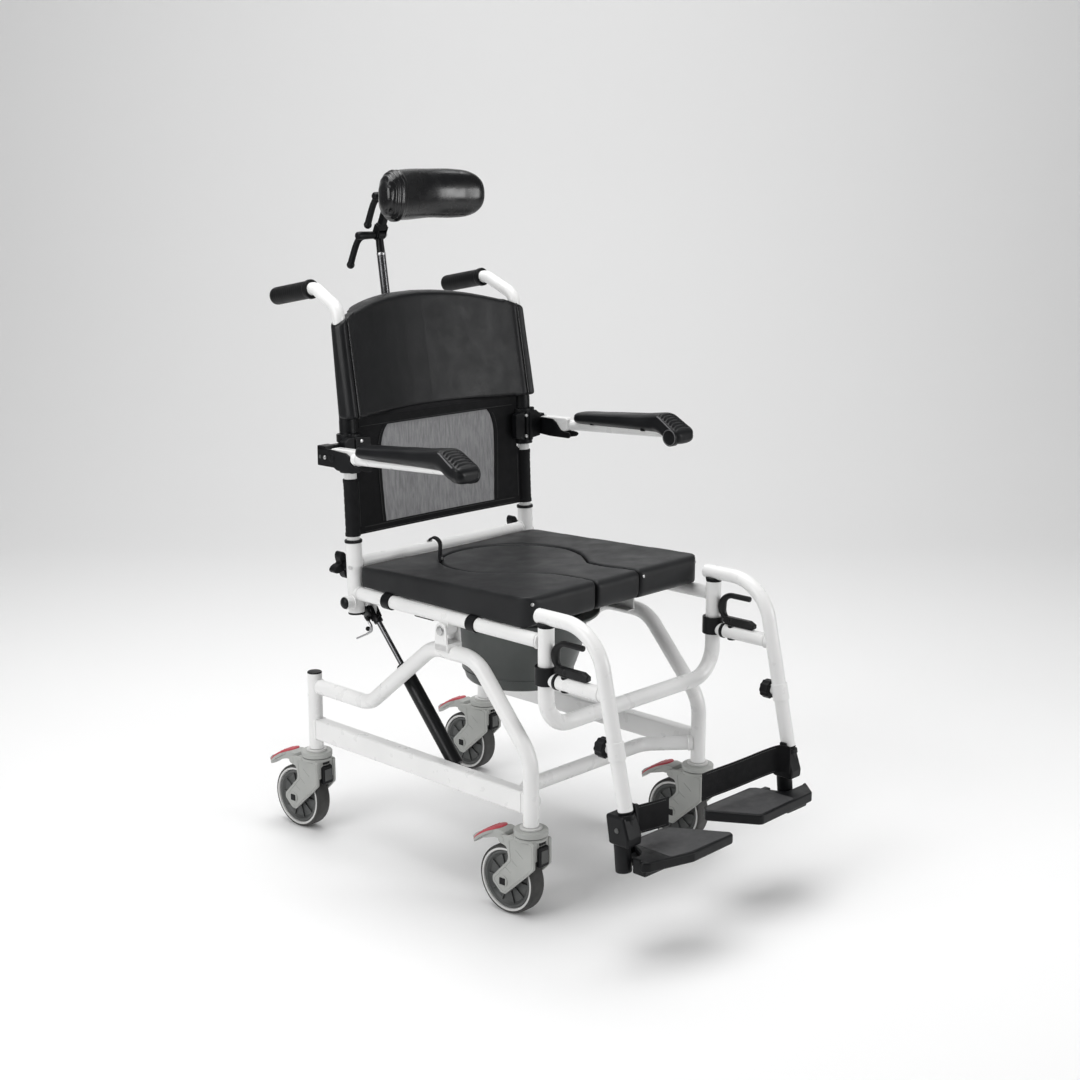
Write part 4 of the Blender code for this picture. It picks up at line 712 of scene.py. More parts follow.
def build_caster(name, sx, sy):
    place = Matrix.Translation((sx * SX, sy * PY, 0)) @ Matrix.Rotation(math.radians(3.0), 4, 'Z')
    S = Shape(place)
    # round head with its light cap ring, groove and lower ring
    S.lathe([(0.0150, 0), (0.0188, 0), (0.0196, 0.0008), (0.0196, 0.0034), (0.0188, 0.0042), (0.0150, 0.0042)], (0, 0, 0.1634), (0, 0, 1), RING, 48)
    S.lathe([(0.0180, 0), (0.0292, 0.0), (0.0300, 0.0008), (0.0300, 0.0084), (0.0292, 0.0096), (0.0275, 0.0102), (0.0150, 0.0106)],
            (0, 0, 0.1533), (0, 0, 1), FORK, 56)
    S.lathe([(0.0270, 0), (0.0270, 0.0040)], (0, 0, 0.1510), (0, 0, 1), HUB, 48)
    S.lathe([(0.0180, 0), (0.0285, 0.0), (0.0292, 0.0007), (0.0292, 0.0048), (0.0282, 0.0058), (0.0180, 0.0060)], (0, 0, 0.1458), (0, 0, 1), FORK, 56)
    S.rod((0, 0, 0.160), (0, 0, 0.198), 0.0055, STEEL)
    # body between the cheeks, open below for the wheel
    S.box(-0.0238, 0.0238, -0.0240, 0.0345, 0.1300, 0.1490, FORK, b=0.004, seg=3)
    for k in range(6):
        x = -0.0175 + 0.007 * k
        S.box(x - 0.0009, x + 0.0009, -0.0262, -0.0225, 0.1330, 0.1485, FORK, b=0.0007)
    cheek = rounded([(-0.0262, 0.1480), (-0.0262, 0.1000), (-0.0103, 0.0840), (0.0395, 0.0385), (0.0500, 0.0395), (0.0685, 0.0560),
                     (0.0690, 0.0655), (0.0310, 0.1050), (0.0360, 0.1280), (0.0500, 0.1305), (0.0565, 0.1380), (0.0500, 0.1450), (0.0360, 0.1480)],
                    [0.004, 0.007, 0.020, 0.006, 0.008, 0.008, 0.007, 0.016, 0.007, 0.005, 0.006, 0.005, 0.004], 7)
    rib = rounded([(-0.0225, 0.1440), (-0.0225, 0.1020), (-0.0080, 0.0868), (0.0400, 0.0432), (0.0480, 0.0436), (0.0640, 0.0578),
                   (0.0643, 0.0632), (0.0262, 0.1040), (0.0300, 0.1440)], 0.006, 6)
    for e in (-1, 1):
        S.slab(cheek, e * 0.0182, e * 0.0241, 'YZ', FORK, b=0.0012)
        S.tube([(e * 0.0241, y, z) for y, z in rib], 0.0009, FORK, seg=10, closed=True)
        for t in (0.30, 0.52, 0.74):
            a = Vector((e * 0.0241, -0.0205 + 0.062 * t, 0.1380 - 0.078 * t))
            S.tube([a, a + Vector((0, 0.0150 + 0.004 * t, 0.0125))], 0.0007, FORK, seg=8)
        # boss and bolt of the wheel
        S.lathe([(0.0108, 0), (0.0108, 0.0012), (0.0100, 0.0020), (0.0060, 0.0021)], (e * 0.0238, TRAIL, AXLE_Z), (e, 0, 0), FORK)
        S.box(e * 0.0250, e * 0.0276, TRAIL - 0.0062, TRAIL + 0.0062, AXLE_Z - 0.0062, AXLE_Z + 0.0062, BLACK, b=0.0012)
        # pivot boss of the pedal
        S.lathe([(0.0062, 0), (0.0062, 0.0006), (0.0054, 0.0011)], (e * 0.0239, *PED), (e, 0, 0), FORK)
    S.rod((-0.0235, TRAIL, AXLE_Z), (0.0235, TRAIL, AXLE_Z), 0.0060, STEEL)
    # dark cover over the brake at the front
    S.box(-0.0125, 0.0125, -0.0312, -0.0215, 0.1010, 0.1375, BLACK, b=0.0032, seg=3)
    S.box(-0.0085, 0.0085, -0.0322, -0.0300, 0.1080, 0.1310, HUB, b=0.0008)
    S.box(-0.0205, 0.0205, -0.0248, -0.0212, 0.1120, 0.1470, FORK, b=0.0016)
    S.box(-0.0075, 0.0075, -0.0274, -0.0240, 0.1400, 0.1472, BLACK, b=0.0010)
    piece("fork_" + name, S, "caster_" + name, "fork_" + name, main=FORK)

    # wheel: tyre, light ring, groove, hub disc with its ribs
    axle = place @ Matrix.Translation((0, TRAIL, AXLE_Z))
    h = 0.0158
    W = Shape(axle)
    W.lathe([(0.0562, -h + 0.0006), (0.0592, -h), (0.0606, -0.0148), (0.0616, -0.0125), (RV, -0.0095), (RV, 0.0095), (0.0616, 0.0125),
             (0.0606, 0.0148), (0.0592, h), (0.0562, h - 0.0006)], (0, 0, 0), (1, 0, 0), TYRE, 96, ring=True)
    W.lathe([(0.0525, -0.0138), (0.0535, -h + 0.0001), (0.0568, -h + 0.0001), (0.0568, h - 0.0001), (0.0535, h - 0.0001), (0.0525, 0.0138)],
            (0, 0, 0), (1, 0, 0), RING, 96, ring=True)
    W.lathe([(0.0064, -0.0142), (0.0150, -0.0142), (0.0165, -0.0125), (0.0180, -0.0095), (0.0420, -0.0085), (0.0455, -0.0112), (0.0470, -0.0132),
             (0.0508, -0.0138), (0.0528, -0.0122), (0.0528, 0.0122), (0.0508, 0.0138), (0.0470, 0.0132), (0.0455, 0.0112), (0.0420, 0.0085),
             (0.0180, 0.0095), (0.0165, 0.0125), (0.0150, 0.0142), (0.0064, 0.0142)], (0, 0, 0), (1, 0, 0), HUB, 72, ring=True)
    for e in (-1, 1):
        for k in range(10):
            a = 2 * math.pi * k / 10
            c = Vector((e * 0.0098, math.cos(a) * 0.031, math.sin(a) * 0.031))
            W.box(c.x - 0.0022, c.x + 0.0022, c.y - 0.0011, c.y + 0.0011, c.z - 0.0130, c.z + 0.0130, HUB, b=0.0006,
                  rot=Matrix.Rotation(a - math.pi / 2, 3, 'X'))
    piece("wheel_" + name, W, "wheel_" + name, "wheel_" + name, main=TYRE)

    # brake pedal: grey lever under a red tread
    P = Shape(place)
    P.slab(rounded([(0.0440, 0.1335), (0.0700, 0.1335), (0.1180, 0.1190), (0.1225, 0.1222), (0.1150, 0.1300), (0.0800, 0.1462), (0.0600, 0.1510),
                    (0.0470, 0.1490), (0.0435, 0.1440)], 0.003, 4), -0.0172, 0.0172, 'YZ', FORK, b=0.0016)
    P.rod((-0.0240, *PED), (0.0240, *PED), 0.0026, STEEL)

    def top(y):
        return 0.1500 - 0.0045 * ((y - 0.062) / 0.03) ** 2 * 0.5 - 0.0245 * max(0.0, (y - 0.066) / 0.0575) ** 1.35

    def ring(sc, dz, m=64, e=2.6):
        out = []
        for k in range(m):
            a = 2 * math.pi * k / m
            c, t = math.cos(a), math.sin(a)
            x = 0.0216 * sc * math.copysign(abs(c) ** (2 / e), c)
            y = 0.0945 + 0.0325 * sc * math.copysign(abs(t) ** (2 / e), t)
            out.append((x, y, top(y) + dz))
        return out
    P.loft([ring(0.90, -0.0068), ring(0.955, -0.0066), ring(0.975, -0.0056), ring(0.985, -0.0012)], FORK)
    P.loft([ring(0.96, -0.0016), ring(1.0, -0.0010), ring(1.0, 0.0006), ring(0.975, 0.0018), ring(0.92, 0.0026), ring(0.80, 0.0032), ring(0.60, 0.0037),
            ring(0.35, 0.0039), ring(0.08, 0.0040)], RED)
    for k in range(4):
        y = 0.083 + 0.009 * k
        P.tube([(x, y, top(y) + 0.0037) for x in (-0.0125, -0.006, 0.0, 0.006, 0.0125)], 0.0008, RED, seg=8)
    piece("pedal_" + name, P, "pedal_" + name, "pedal_" + name, main=RED)


for nm, sx, sy in (("front_right", -1, -1), ("front_left", 1, -1), ("rear_right", -1, 1), ("rear_left", 1, 1)):
    build_caster(nm, sx, sy)

# ------------------------------------------------------------------ seat frame
CX, CR = 0.2248, 0.0118
LX, LY = 0.2225, -0.322
for side, s in SIDES:
    sx, cx = s * SX, s * CX
    S = Shape()
    S.rod((sx, cane_y(0.501) - 0.004, 0.501), (sx, LY + 0.010, 0.501), 0.0125, WHITE, seg=40)
    S.rod((cx, cane_y(0.463), 0.463), (cx, cane_y(0.5965), 0.5965), 0.015, WHITE, seg=44, b=0.001)
    S.rod((s * 0.220, 0.1595, 0.486), (s * 0.2548, 0.1595, 0.486), 0.0125, WHITE, seg=36)
    weld(S, (sx, cane_y(0.501) - 0.0155, 0.501), (0, 1, 0), 0.0127, 0.0015)
    weld(S, (sx, LY + 0.0148, 0.501), (0, 1, 0), 0.0127, 0.0015)
    weld(S, (s * 0.2395, 0.1595, 0.486), (1, 0, 0), 0.0127, 0.0014)
    S.ball((s * 0.2545, 0.1595, 0.486), (0.0062, 0.0112, 0.0112), BLACK)
    # black throat ring at the mouth and a ring at the foot of the socket
    S.lathe([(0.0121, 0.0), (0.0158, 0.0), (0.0164, 0.0008), (0.0164, 0.0046), (0.0156, 0.0056), (0.0121, 0.0056)], (cx, cane_y(0.596), 0.5945), (0, 0.038, 1), BLACK, 48, ring=True)
    S.lathe([(0.0130, 0.0), (0.0154, 0.0004), (0.0157, 0.0012), (0.0157, 0.0034), (0.0150, 0.0040)], (cx, cane_y(0.4610), 0.4600), (0, 0.038, 1), BLACK, 48)
    S.lathe([(0.0040, 0), (0.0040, 0.0008), (0.0025, 0.0016)], (s * 0.2395, 0.1600, 0.550), (s, -0.25, 0), BOLT, 20)
    # lug of the tilt axis
    S.rod((s * 0.2140, *PIV), (s * 0.2386, *PIV), 0.0105, WHITE)
    S.slab(rounded([(PIV[0] - 0.0100, 0.4780), (PIV[0] + 0.0100, 0.4780), (PIV[0] + 0.0135, 0.5000), (PIV[0] - 0.0135, 0.5000)], 0.001, 2),
           s * 0.2150, s * 0.2376, 'YZ', WHITE, b=0.001)
    # guide of the pan and its two arms
    S.box(s * 0.1503, s * 0.1535, -0.190, 0.130, 0.4587, 0.4932, WHITE, b=0.0009)
    S.box(s * 0.1360, s * 0.1519, -0.189, 0.129, 0.4592, 0.4622, WHITE, b=0.0009)
    for y in (0.081, -0.155):
        S.box(s * 0.1518, s * 0.2230, y - 0.011, y + 0.011, 0.4880, 0.4942, WHITE, b=0.0012)
    # clips that hold the seat pad on the tube
    for y in (0.067, -0.154):
        S.lathe([(0.0124, 0), (0.0146, 0), (0.0152, 0.0007), (0.0152, 0.0193), (0.0146, 0.0200), (0.0124, 0.0200)], (sx, y - 0.010, 0.501), (0, 1, 0), BLACK, 40, ring=True)
        S.box(s * 0.2180, s * 0.2320, y - 0.009, y + 0.009, 0.5120, 0.5160, BLACK, b=0.001)
    S.box(s * 0.2225, s * 0.2300, -0.0515, -0.0035, 0.4868, 0.4895, BLACK, b=0.0008)
    piece("seat_rail_" + side, S, "seat_frame", "seat_rail_" + side)

S = Shape()
S.rod((-0.2130, 0.1595, 0.486), (0.2130, 0.1595, 0.486), 0.0125, WHITE, seg=40)
for s in (-1, 1):
    weld(S, (s * 0.2095, 0.1595, 0.486), (1, 0, 0), 0.0127, 0.0015)
hy, hz = GAS_HEAD
S.slab([(hy - 0.0094, hz)] + arc(hy, hz, 0.0095, 180, 360, 14) + [(hy + 0.0100, 0.482), (hy - 0.0100, 0.482)], GAS_X - 0.0026, GAS_X + 0.0026, 'YZ', WHITE, b=0.0006)
piece("rear_cross_tube", S, "seat_frame", "rear_cross_tube")

S = Shape()
S.rod((-0.2140, cane_y(0.556) + 0.001, 0.556), (0.2140, cane_y(0.556) + 0.001, 0.556), 0.011, WHITE, seg=36)
for s in (-1, 1):
    weld(S, (s * 0.2100, cane_y(0.556) + 0.001, 0.556), (1, 0, 0), 0.0112, 0.0014)
piece("upper_cross_tube", S, "seat_frame", "upper_cross_tube")

S = Shape()
S.tube([(-LX, LY, 0.5278), (-LX, LY, 0.349), (LX, LY, 0.349), (LX, LY, 0.5278)], 0.014, WHITE, (0.055, 0.055), seg=40, steps=16)
for s in (-1, 1):
    S.lathe([(0.0090, 0), (0.0136, 0), (0.0143, 0.0006), (0.0143, 0.0020), (0.0136, 0.0024), (0.0090, 0.0024)], (s * LX, LY, 0.5258), (0, 0, 1), BLACK, 44, ring=True)
piece("front_u_tube", S, "seat_frame", "front_u_tube")

# ------------------------------------------------------------------ seat pad, infill, strap, pan
PAD_Z0 = 0.5140
SLOPE = (0.5700 - 0.5538) / (0.149 + 0.288)


def seat_top(y):
    return 0.5538 + (0.149 - y) * SLOPE


half = smooth([(0.0700, -0.2885), (0.0632, -0.2868), (0.0590, -0.2825), (0.0572, -0.2740), (0.0562, -0.2590), (0.0548, -0.2370),
               (0.0535, -0.2100), (0.0550, -0.1850), (0.0625, -0.1600), (0.0830, -0.1330), (0.1040, -0.1050), (0.1200, -0.0750),
               (0.1300, -0.0400), (0.1300, -0.0060), (0.1210, 0.0330), (0.0995, 0.0700), (0.0680, 0.0985), (0.0320, 0.1135), (0.0, 0.1165)], 6)
half = [(p.x, p.y) for p in half]
hole = half + [(-x, y) for x, y in half[-2::-1]]              # from the front left lip round the rear to the right lip
outer = rounded([(-0.229, -0.288), (-0.229, 0.149), (0.229, 0.149), (0.229, -0.288)], [0.030, 0.014, 0.014, 0.030], 10)
i0 = min(range(len(outer)), key=lambda i: outer[i][1] + (10 if outer[i][0] > 0 else 0) + abs(outer[i][0]) * 0.01)
outer = outer[i0:] + outer[:i0]
pad_poly = outer + [(0.0705, -0.288)] + hole[1:-1] + [(-0.0705, -0.288)]
nose = [(-0.300, 0.5330)] + [(-0.266 + 0.022 * math.cos(math.radians(a)), 0.5345 + 0.0215 * math.sin(math.radians(a))) for a in range(180, 271, 9)] + [(-0.266, 0.505), (-0.300, 0.505)]
brow = [(-0.300, 0.5480), (-0.2885, 0.5480)] + [(-0.2740 + 0.0145 * math.cos(math.radians(a)), seat_top(-0.274) - 0.0145 + 0.0147 * math.sin(math.radians(a))) for a in range(180, 89, -9)] + [(-0.2740, 0.60), (-0.300, 0.60)]


def seat_solid(poly, z0):
    S = Shape()
    S.slab(poly, z0, 0.60, 'XY', SEAT_SHEEN_SKIN, b=0)
    a, b = 0.18, -0.31
    w = Shape().slab([(a, seat_top(a)), (a, 0.64), (b, 0.64), (b, seat_top(b))], -0.26, 0.26, 'YZ', FOAM, b=0)
    return carved(S, [w, Shape().slab(nose, -0.26, 0.26, 'YZ', FOAM, b=0), Shape().slab(brow, -0.26, 0.26, 'YZ', FOAM, b=0)])


def seat_dip(p):
    up = max(0.0, min(1.0, (p.z - PAD_Z0 - 0.012) / 0.026))
    d = 0.0050 * math.exp(-((p.x / 0.150) ** 2 + ((p.y + 0.020) / 0.150) ** 2))
    edge = 0.0013 * noise.noise(Vector((p.x * 16, p.y * 16, p.z * 10)))
    return Vector((p.x, p.y, p.z - up * (d - edge * 0.5)))


voxel = 0.0028
# seat pad and infill take the lighter seat skin, whose base colour paints the sheen of the seat top
me = moved(softened(seat_solid(pad_poly, PAD_Z0), voxel, 12), seat_dip)
seat_pad = finish_piece("seat_pad", me, SEAT_SHEEN_SKIN, "seat_pad", 60)
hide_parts("seat_pad")
S = Shape()
for s in (-1, 1):
    if s > 0:
        S.lathe([(0.0030, -0.0030), (0.0032, 0.0002), (0.0028, 0.0010), (0.0014, 0.0014)], (s * 0.0665, -0.2862, 0.5560), (s * 0.05, -1, 0.1), BOLT, 20)
    S.lathe([(0.0030, -0.0030), (0.0032, 0.0002), (0.0028, 0.0010), (0.0014, 0.0014)], (s * 0.2150, -0.2828, 0.5560), (s * 0.35, -1, 0.1), BOLT, 20)
piece("seat_rivets", S, "seat_pad", main=BOLT)
inf = inset(hole, 0.0034)
inf = [(x, y) for x, y in inf if y > -0.2885]
inf = [p for p in inf if p[1] > -0.2790]
inf = [(0.0545, -0.2880)] + inf + [(-0.0545, -0.2880)]
me = moved(softened(seat_solid(inf, PAD_Z0 + 0.0015), voxel, 10), lambda p: seat_dip(p) - Vector((0, 0, 0.0012 if p.z > 0.54 else 0)))
seat_infill = finish_piece("seat_infill", me, SEAT_SHEEN_SKIN, "seat_infill", 60)
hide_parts("seat_infill")
S = Shape()
loop = smooth([(-0.0905, 0.0740, 0.5440), (-0.0899, 0.0785, 0.5570), (-0.0880, 0.0810, 0.5665), (-0.0793, 0.0900, 0.5797), (-0.0740, 0.1020, 0.5855),
               (-0.0714, 0.1150, 0.5870), (-0.0705, 0.1240, 0.5840), (-0.0700, 0.1290, 0.5795)], 8)
S.ribbon(loop, (0.0115, 0.0050, 0), 0.0036, WEB)
S.box(-0.0760, -0.0640, 0.1272, 0.1312, 0.5762, 0.5812, RING, b=0.0008)
S.box(-0.0945, -0.0845, 0.0745, 0.0785, 0.5500, 0.5605, BLACK, b=0.0008)
S.lathe([(0.0030, 0), (0.0030, 0.0008), (0.0020, 0.0016)], (-0.0893, 0.0746, 0.5560), (-0.30, -0.95, 0.1), HUB, 20)
piece("infill_strap", S, "seat_infill", main=WEB)

S = Shape()
prof = [(0.0860, 0.3300), (0.0905, 0.3308), (0.0940, 0.3345), (0.0960, 0.3420), (0.1065, 0.3700), (0.1160, 0.4000), (0.1222, 0.4350), (0.1255, 0.4634),
        (0.1440, 0.4634), (0.1462, 0.4625), (0.1470, 0.4640), (0.1470, 0.4668), (0.1458, 0.4680), (0.1240, 0.4680), (0.1218, 0.4665), (0.1182, 0.4330),
        (0.1122, 0.4010), (0.1028, 0.3720), (0.0925, 0.3445), (0.0870, 0.3350), (0.0820, 0.3332)]
rings = []
for r, z in prof:
    rings.append([(r * math.cos(2 * math.pi * k / 96), -0.035 + 1.08 * r * math.sin(2 * math.pi * k / 96), z) for k in range(96)])
S.loft(rings, PAN)
for z in (0.352, 0.4520):
    r = 0.1000 if z < 0.4 else 0.1243
    S.tube([(r * math.cos(2 * math.pi * k / 72), -0.035 + 1.08 * r * math.sin(2 * math.pi * k / 72), z) for k in range(72)], 0.0011, PAN, seg=8, closed=True)
piece("commode_pan", S, "commode_pan", "commode_pan", angle=40)

# ------------------------------------------------------------------ gas spring and release
LOW = Vector((GAS_X, *GAS_LOW))
HEAD = Vector((GAS_X, *GAS_HEAD))
AX = (HEAD - LOW).normalized()
GL = (HEAD - LOW).length


def along(d):
    return LOW + AX * d


S = Shape()
S.lathe([(0.0046, -0.0060), (0.0098, -0.0060), (0.0105, -0.0053), (0.0105, 0.0053), (0.0098, 0.0060), (0.0046, 0.0060)], LOW, (1, 0, 0), BLACK, 40, ring=True)
S.rod(along(0.0090), along(0.024), 0.0070, BLACK)
S.lathe([(0.010, 0), (0.0132, 0.0006), (0.0140, 0.0024), (0.0140, 0.2010), (0.0132, 0.2032), (0.0120, 0.2040)], along(0.020), AX, PAINT, 44)
S.lathe([(0.0070, 0), (0.0106, 0), (0.0112, 0.0008), (0.0112, 0.0096), (0.0100, 0.0110), (0.0050, 0.0112)], along(0.2240), AX, BLACK, 40)
piece("gas_cylinder", S, "gas_cylinder", "gas_cylinder", main=PAINT)

S = Shape()
S.rod(along(0.206), along(GL - 0.015), 0.0050, DARK, seg=40)
S.lathe([(0.0050, 0), (0.0085, 0.0005), (0.0088, 0.0018), (0.0088, 0.0100), (0.0080, 0.0116)], along(GL - 0.0270), AX, BLACK, 36)
perp = Vector((0, AX.z, -AX.y))
for x0, x1 in ((0.0036, 0.0076), (-0.0076, -0.0036)):
    pts = [HEAD - AX * 0.0190 + perp * 0.0076, HEAD - AX * 0.0190 - perp * 0.0076]
    a0 = math.degrees(math.atan2(-perp.z, -perp.y))
    out = [(pts[0].y, pts[0].z), (pts[1].y, pts[1].z)] + arc(HEAD.y, HEAD.z, 0.0100, a0, a0 + (180 if (Vector((0, math.cos(math.radians(a0 + 90)), math.sin(math.radians(a0 + 90)))).dot(AX) > 0) else -180), 14)
    S.slab(out, GAS_X + x0, GAS_X + x1, 'YZ', BLACK, b=0.0007)
S.rod(HEAD + Vector((0.0100, 0, 0)), HEAD + Vector((-0.0126, 0, 0)), 0.0030, STEEL)
S.lathe([(0.0062, 0), (0.0062, 0.0022), (0.0052, 0.0028)], HEAD + Vector((0.0076, 0, 0)), (1, 0, 0), STEEL, seg=6)
piece("gas_rod", S, "gas_rod", "gas_rod", main=DARK)

# star shaped knob with a grey face on the end of the pin, one gap of the star turned to the cross tube
S = Shape()
S.lathe([(0.0100, 0), (0.0122, 0.0006), (0.0127, 0.0016), (0.0127, 0.0038), (0.0116, 0.0050)], (GAS_X - 0.0129, hy, hz), (-1, 0, 0), BLACK, 90,
        lobes=lambda a: 1 + 0.23 * math.cos(5 * (a - math.radians(122.6))))
S.lathe([(0.0088, 0), (0.0086, 0.0008), (0.0066, 0.0018), (0.0030, 0.0021)], (GAS_X - 0.0176, hy, hz), (-1, 0, 0), HUB, 60,
        lobes=lambda a: 1 + 0.12 * math.cos(5 * (a - math.radians(122.6))))
piece("gas_pin_star", S, "seat_frame", main=BLACK)

S = Shape()
lx = GAS_X - 0.0102
S.lathe([(0.0034, -0.0022), (0.0066, -0.0022), (0.0071, -0.0017), (0.0071, 0.0017), (0.0066, 0.0022), (0.0034, 0.0022)], (lx, hy, hz), (1, 0, 0), STEEL, 36, ring=True)
S.tube([(lx, hy + 0.001, hz - 0.0045), (lx, 0.1605, 0.4440), (lx, 0.1500, 0.4330), (lx, 0.1500, 0.4235), (lx, 0.1640, 0.4150), (lx, 0.1930, 0.4010)],
       0.0024, STEEL, (0.006, 0.006, 0.004, 0.006), seg=18, steps=6, radius=lambda t: 0.0031 - 0.0014 * t)
S.rod((lx, 0.1592, 0.4520), (lx, 0.1590, 0.4420), 0.0046, BLACK, b=0.0016)
S.ball((lx, 0.1600, 0.4262), 0.0046, BLACK, 20, 10)
S.tube([(lx, 0.1515, 0.4262), (lx, 0.1600, 0.4262)], 0.0017, STEEL, seg=14)
piece("release_lever", S, "release_lever", "release_lever")


def stitches(S, pts, pitch=0.0045, r=0.00045, mat=HUB):
    """A row of stitches along the points."""
    p = [Vector(q) for q in pts]
    cum = [0.0]
    for a, b in zip(p, p[1:]):
        cum.append(cum[-1] + (b - a).length)

    def at(d):
        for i in range(len(cum) - 1):
            if d <= cum[i + 1]:
                t = (d - cum[i]) / max(cum[i + 1] - cum[i], 1e-9)
                return p[i].lerp(p[i + 1], t)
        return p[-1]
    n = int(cum[-1] / pitch)
    for k in range(n):
        S.tube([at(k * pitch), at(k * pitch + pitch * 0.62)], r, mat, seg=6, b=0.0003)


# ------------------------------------------------------------------ back tubes and grips
GX = 0.2175
BAR_Z = 0.930


def cane_path(s):
    return [(s * CX, cane_y(0.5035), 0.5035), (s * CX, cane_y(0.83), 0.83), (s * 0.2240, cane_y(1.0195), 1.0195),
            (s * GX, 0.2660, 1.0525), (s * GX, 0.3790, 1.0321)]


for side, s in SIDES:
    S = Shape()
    S.tube(cane_path(s), CR, WHITE, (0.060, 0.030, 0.030), seg=40, steps=14)
    piece("cane_" + side, S, "back", "cane_" + side)
    g0, g1 = Vector((s * GX, 0.2760, 1.0507)), Vector((s * GX, 0.3850, 1.0310))
    d = (g1 - g0).normalized()
    prof = [(0.0122, 0), (0.0170, 0), (0.0178, 0.0008), (0.0180, 0.0060), (0.0174, 0.0085), (0.0166, 0.0100)]
    h = 0.0110
    while h < 0.098:
        prof += [(0.01635, h), (0.01655, h + 0.0012), (0.01655, h + 0.0034), (0.01635, h + 0.0046)]
        h += 0.0058
    prof += [(0.0163, 0.1010), (0.0165, 0.1040), (0.0158, 0.1080), (0.0140, 0.1100), (0.0090, 0.1107), (0.0002, 0.1108)]
    S = Shape()
    S.lathe(prof, g0, d, RUBBER, 48)
    piece("grip_" + side, S, "back", "grip_" + side)


def mast_y(z):
    return 0.3385 + (z - 1.1385) * 0.148


S = Shape()
y0 = cane_y(BAR_Z)
S.tube([(-0.2160, y0 + 0.0055, BAR_Z), (-0.150, 0.285, BAR_Z), (0.150, 0.285, BAR_Z), (0.2160, y0 + 0.0055, BAR_Z)], 0.0110, WHITE, (0.050, 0.050), seg=36, steps=12)
S.box(-0.021, 0.021, 0.278, 0.3255, 0.904, 0.956, BLACK, b=0.004, seg=3)
S.lathe([(0.0095, 0), (0.0100, 0.0006), (0.0100, 0.0060), (0.0085, 0.0072)], (0.0208, mast_y(0.93), 0.93), (1, 0, 0), BLACK, 48, lobes=lambda a: 1 + 0.13 * math.cos(5 * a))
S.lathe([(0.0078, 0), (0.0110, 0), (0.0115, 0.0006), (0.0115, 0.0030), (0.0078, 0.0032)], (0, mast_y(0.956), 0.9555), (0, 0.148, 1), BLACK, 40, ring=True)
piece("back_crossbar", S, "back", "back_crossbar", main=WHITE)

# ------------------------------------------------------------------ upper back pad
pad_top = table([(0.0, 1.0380), (0.060, 1.0355), (0.115, 1.0290), (0.165, 1.0190), (0.200, 1.0100), (0.2200, 1.0035), (0.2273, 1.0008), (0.2345, 0.9965), (0.2390, 0.9925)])
PADZ = 0.8235


def front_y(x, z):
    x = min(abs(x), 0.2273)
    return 0.146 + (z - 0.827) * 0.171 + 0.042 * (1 - (x / 0.227) ** 2)


def pad_ring(t, shrink):
    def zz(x):
        return PADZ + (pad_top(abs(x)) - PADZ) * t
    cz = zz(0.2248)
    cy = cane_y(cz)
    ctrl = []
    for x in (0.0, 0.045, 0.09, 0.13, 0.165, 0.19, 0.205, 0.217):
        ctrl.append((x, front_y(x, zz(x))))
    yf = front_y(0.2273, cz)
    ctrl += [(0.2270, yf + 0.0006), (0.2335, yf + 0.0042), (0.2372, yf + 0.0105), (0.2384, (yf + cy) / 2 + 0.004), (0.2387, cy),
             (0.2362, cy + 0.0078), (0.2300, cy + 0.0128), (0.2230, cy + 0.0143), (0.2120, cy + 0.0150)]
    back = [(0.19, cy + 0.0172), (0.165, front_y(0.165, zz(0.165)) + 0.037), (0.13, front_y(0.13, zz(0.13)) + 0.040), (0.09, front_y(0.09, zz(0.09)) + 0.041),
            (0.045, front_y(0.045, zz(0.045)) + 0.041), (0.0, front_y(0, zz(0)) + 0.041)]
    ctrl += back
    n = 12
    pts = smooth([(a, b, 0) for a, b in ctrl], n)
    m = len(pts)
    out = []
    for i, p in enumerate(pts):
        x, y = p.x, p.y
        z = zz(x)
        mid = front_y(x, z) + 0.0205 if x < 0.19 else (yf + cy + 0.010) / 2
        on_front = y < mid
        # soft wrinkles, the seam beside the tube and the puckers next to it
        w = 0.0010 * noise.noise(Vector((x * 11, z * 9, 0 if on_front else 5))) + 0.0002 * noise.noise(Vector((x * 50, z * 22, 3)))
        w += 0.0016 * math.exp(-((x - 0.2165) / 0.0016) ** 2)
        w -= 0.0010 * math.exp(-((x - 0.2105) / 0.0040) ** 2)
        w += 0.0005 * math.exp(-((x - 0.206) / 0.006) ** 2) * math.sin(z * 620)
        y += w if on_front else -w
        y = mid + (y - mid) * shrink
        xs = x if x < 0.19 else 0.19 + (x - 0.19) * (0.84 + 0.16 * shrink)
        if xs > 0.19:
            xs += 0.0030 * (1 - t) * (xs - 0.19) / 0.0487
        out.append((xs, y, z))
    left = out
    right = [(-x, y, z) for x, y, z in out[-2:0:-1]]
    return left + right


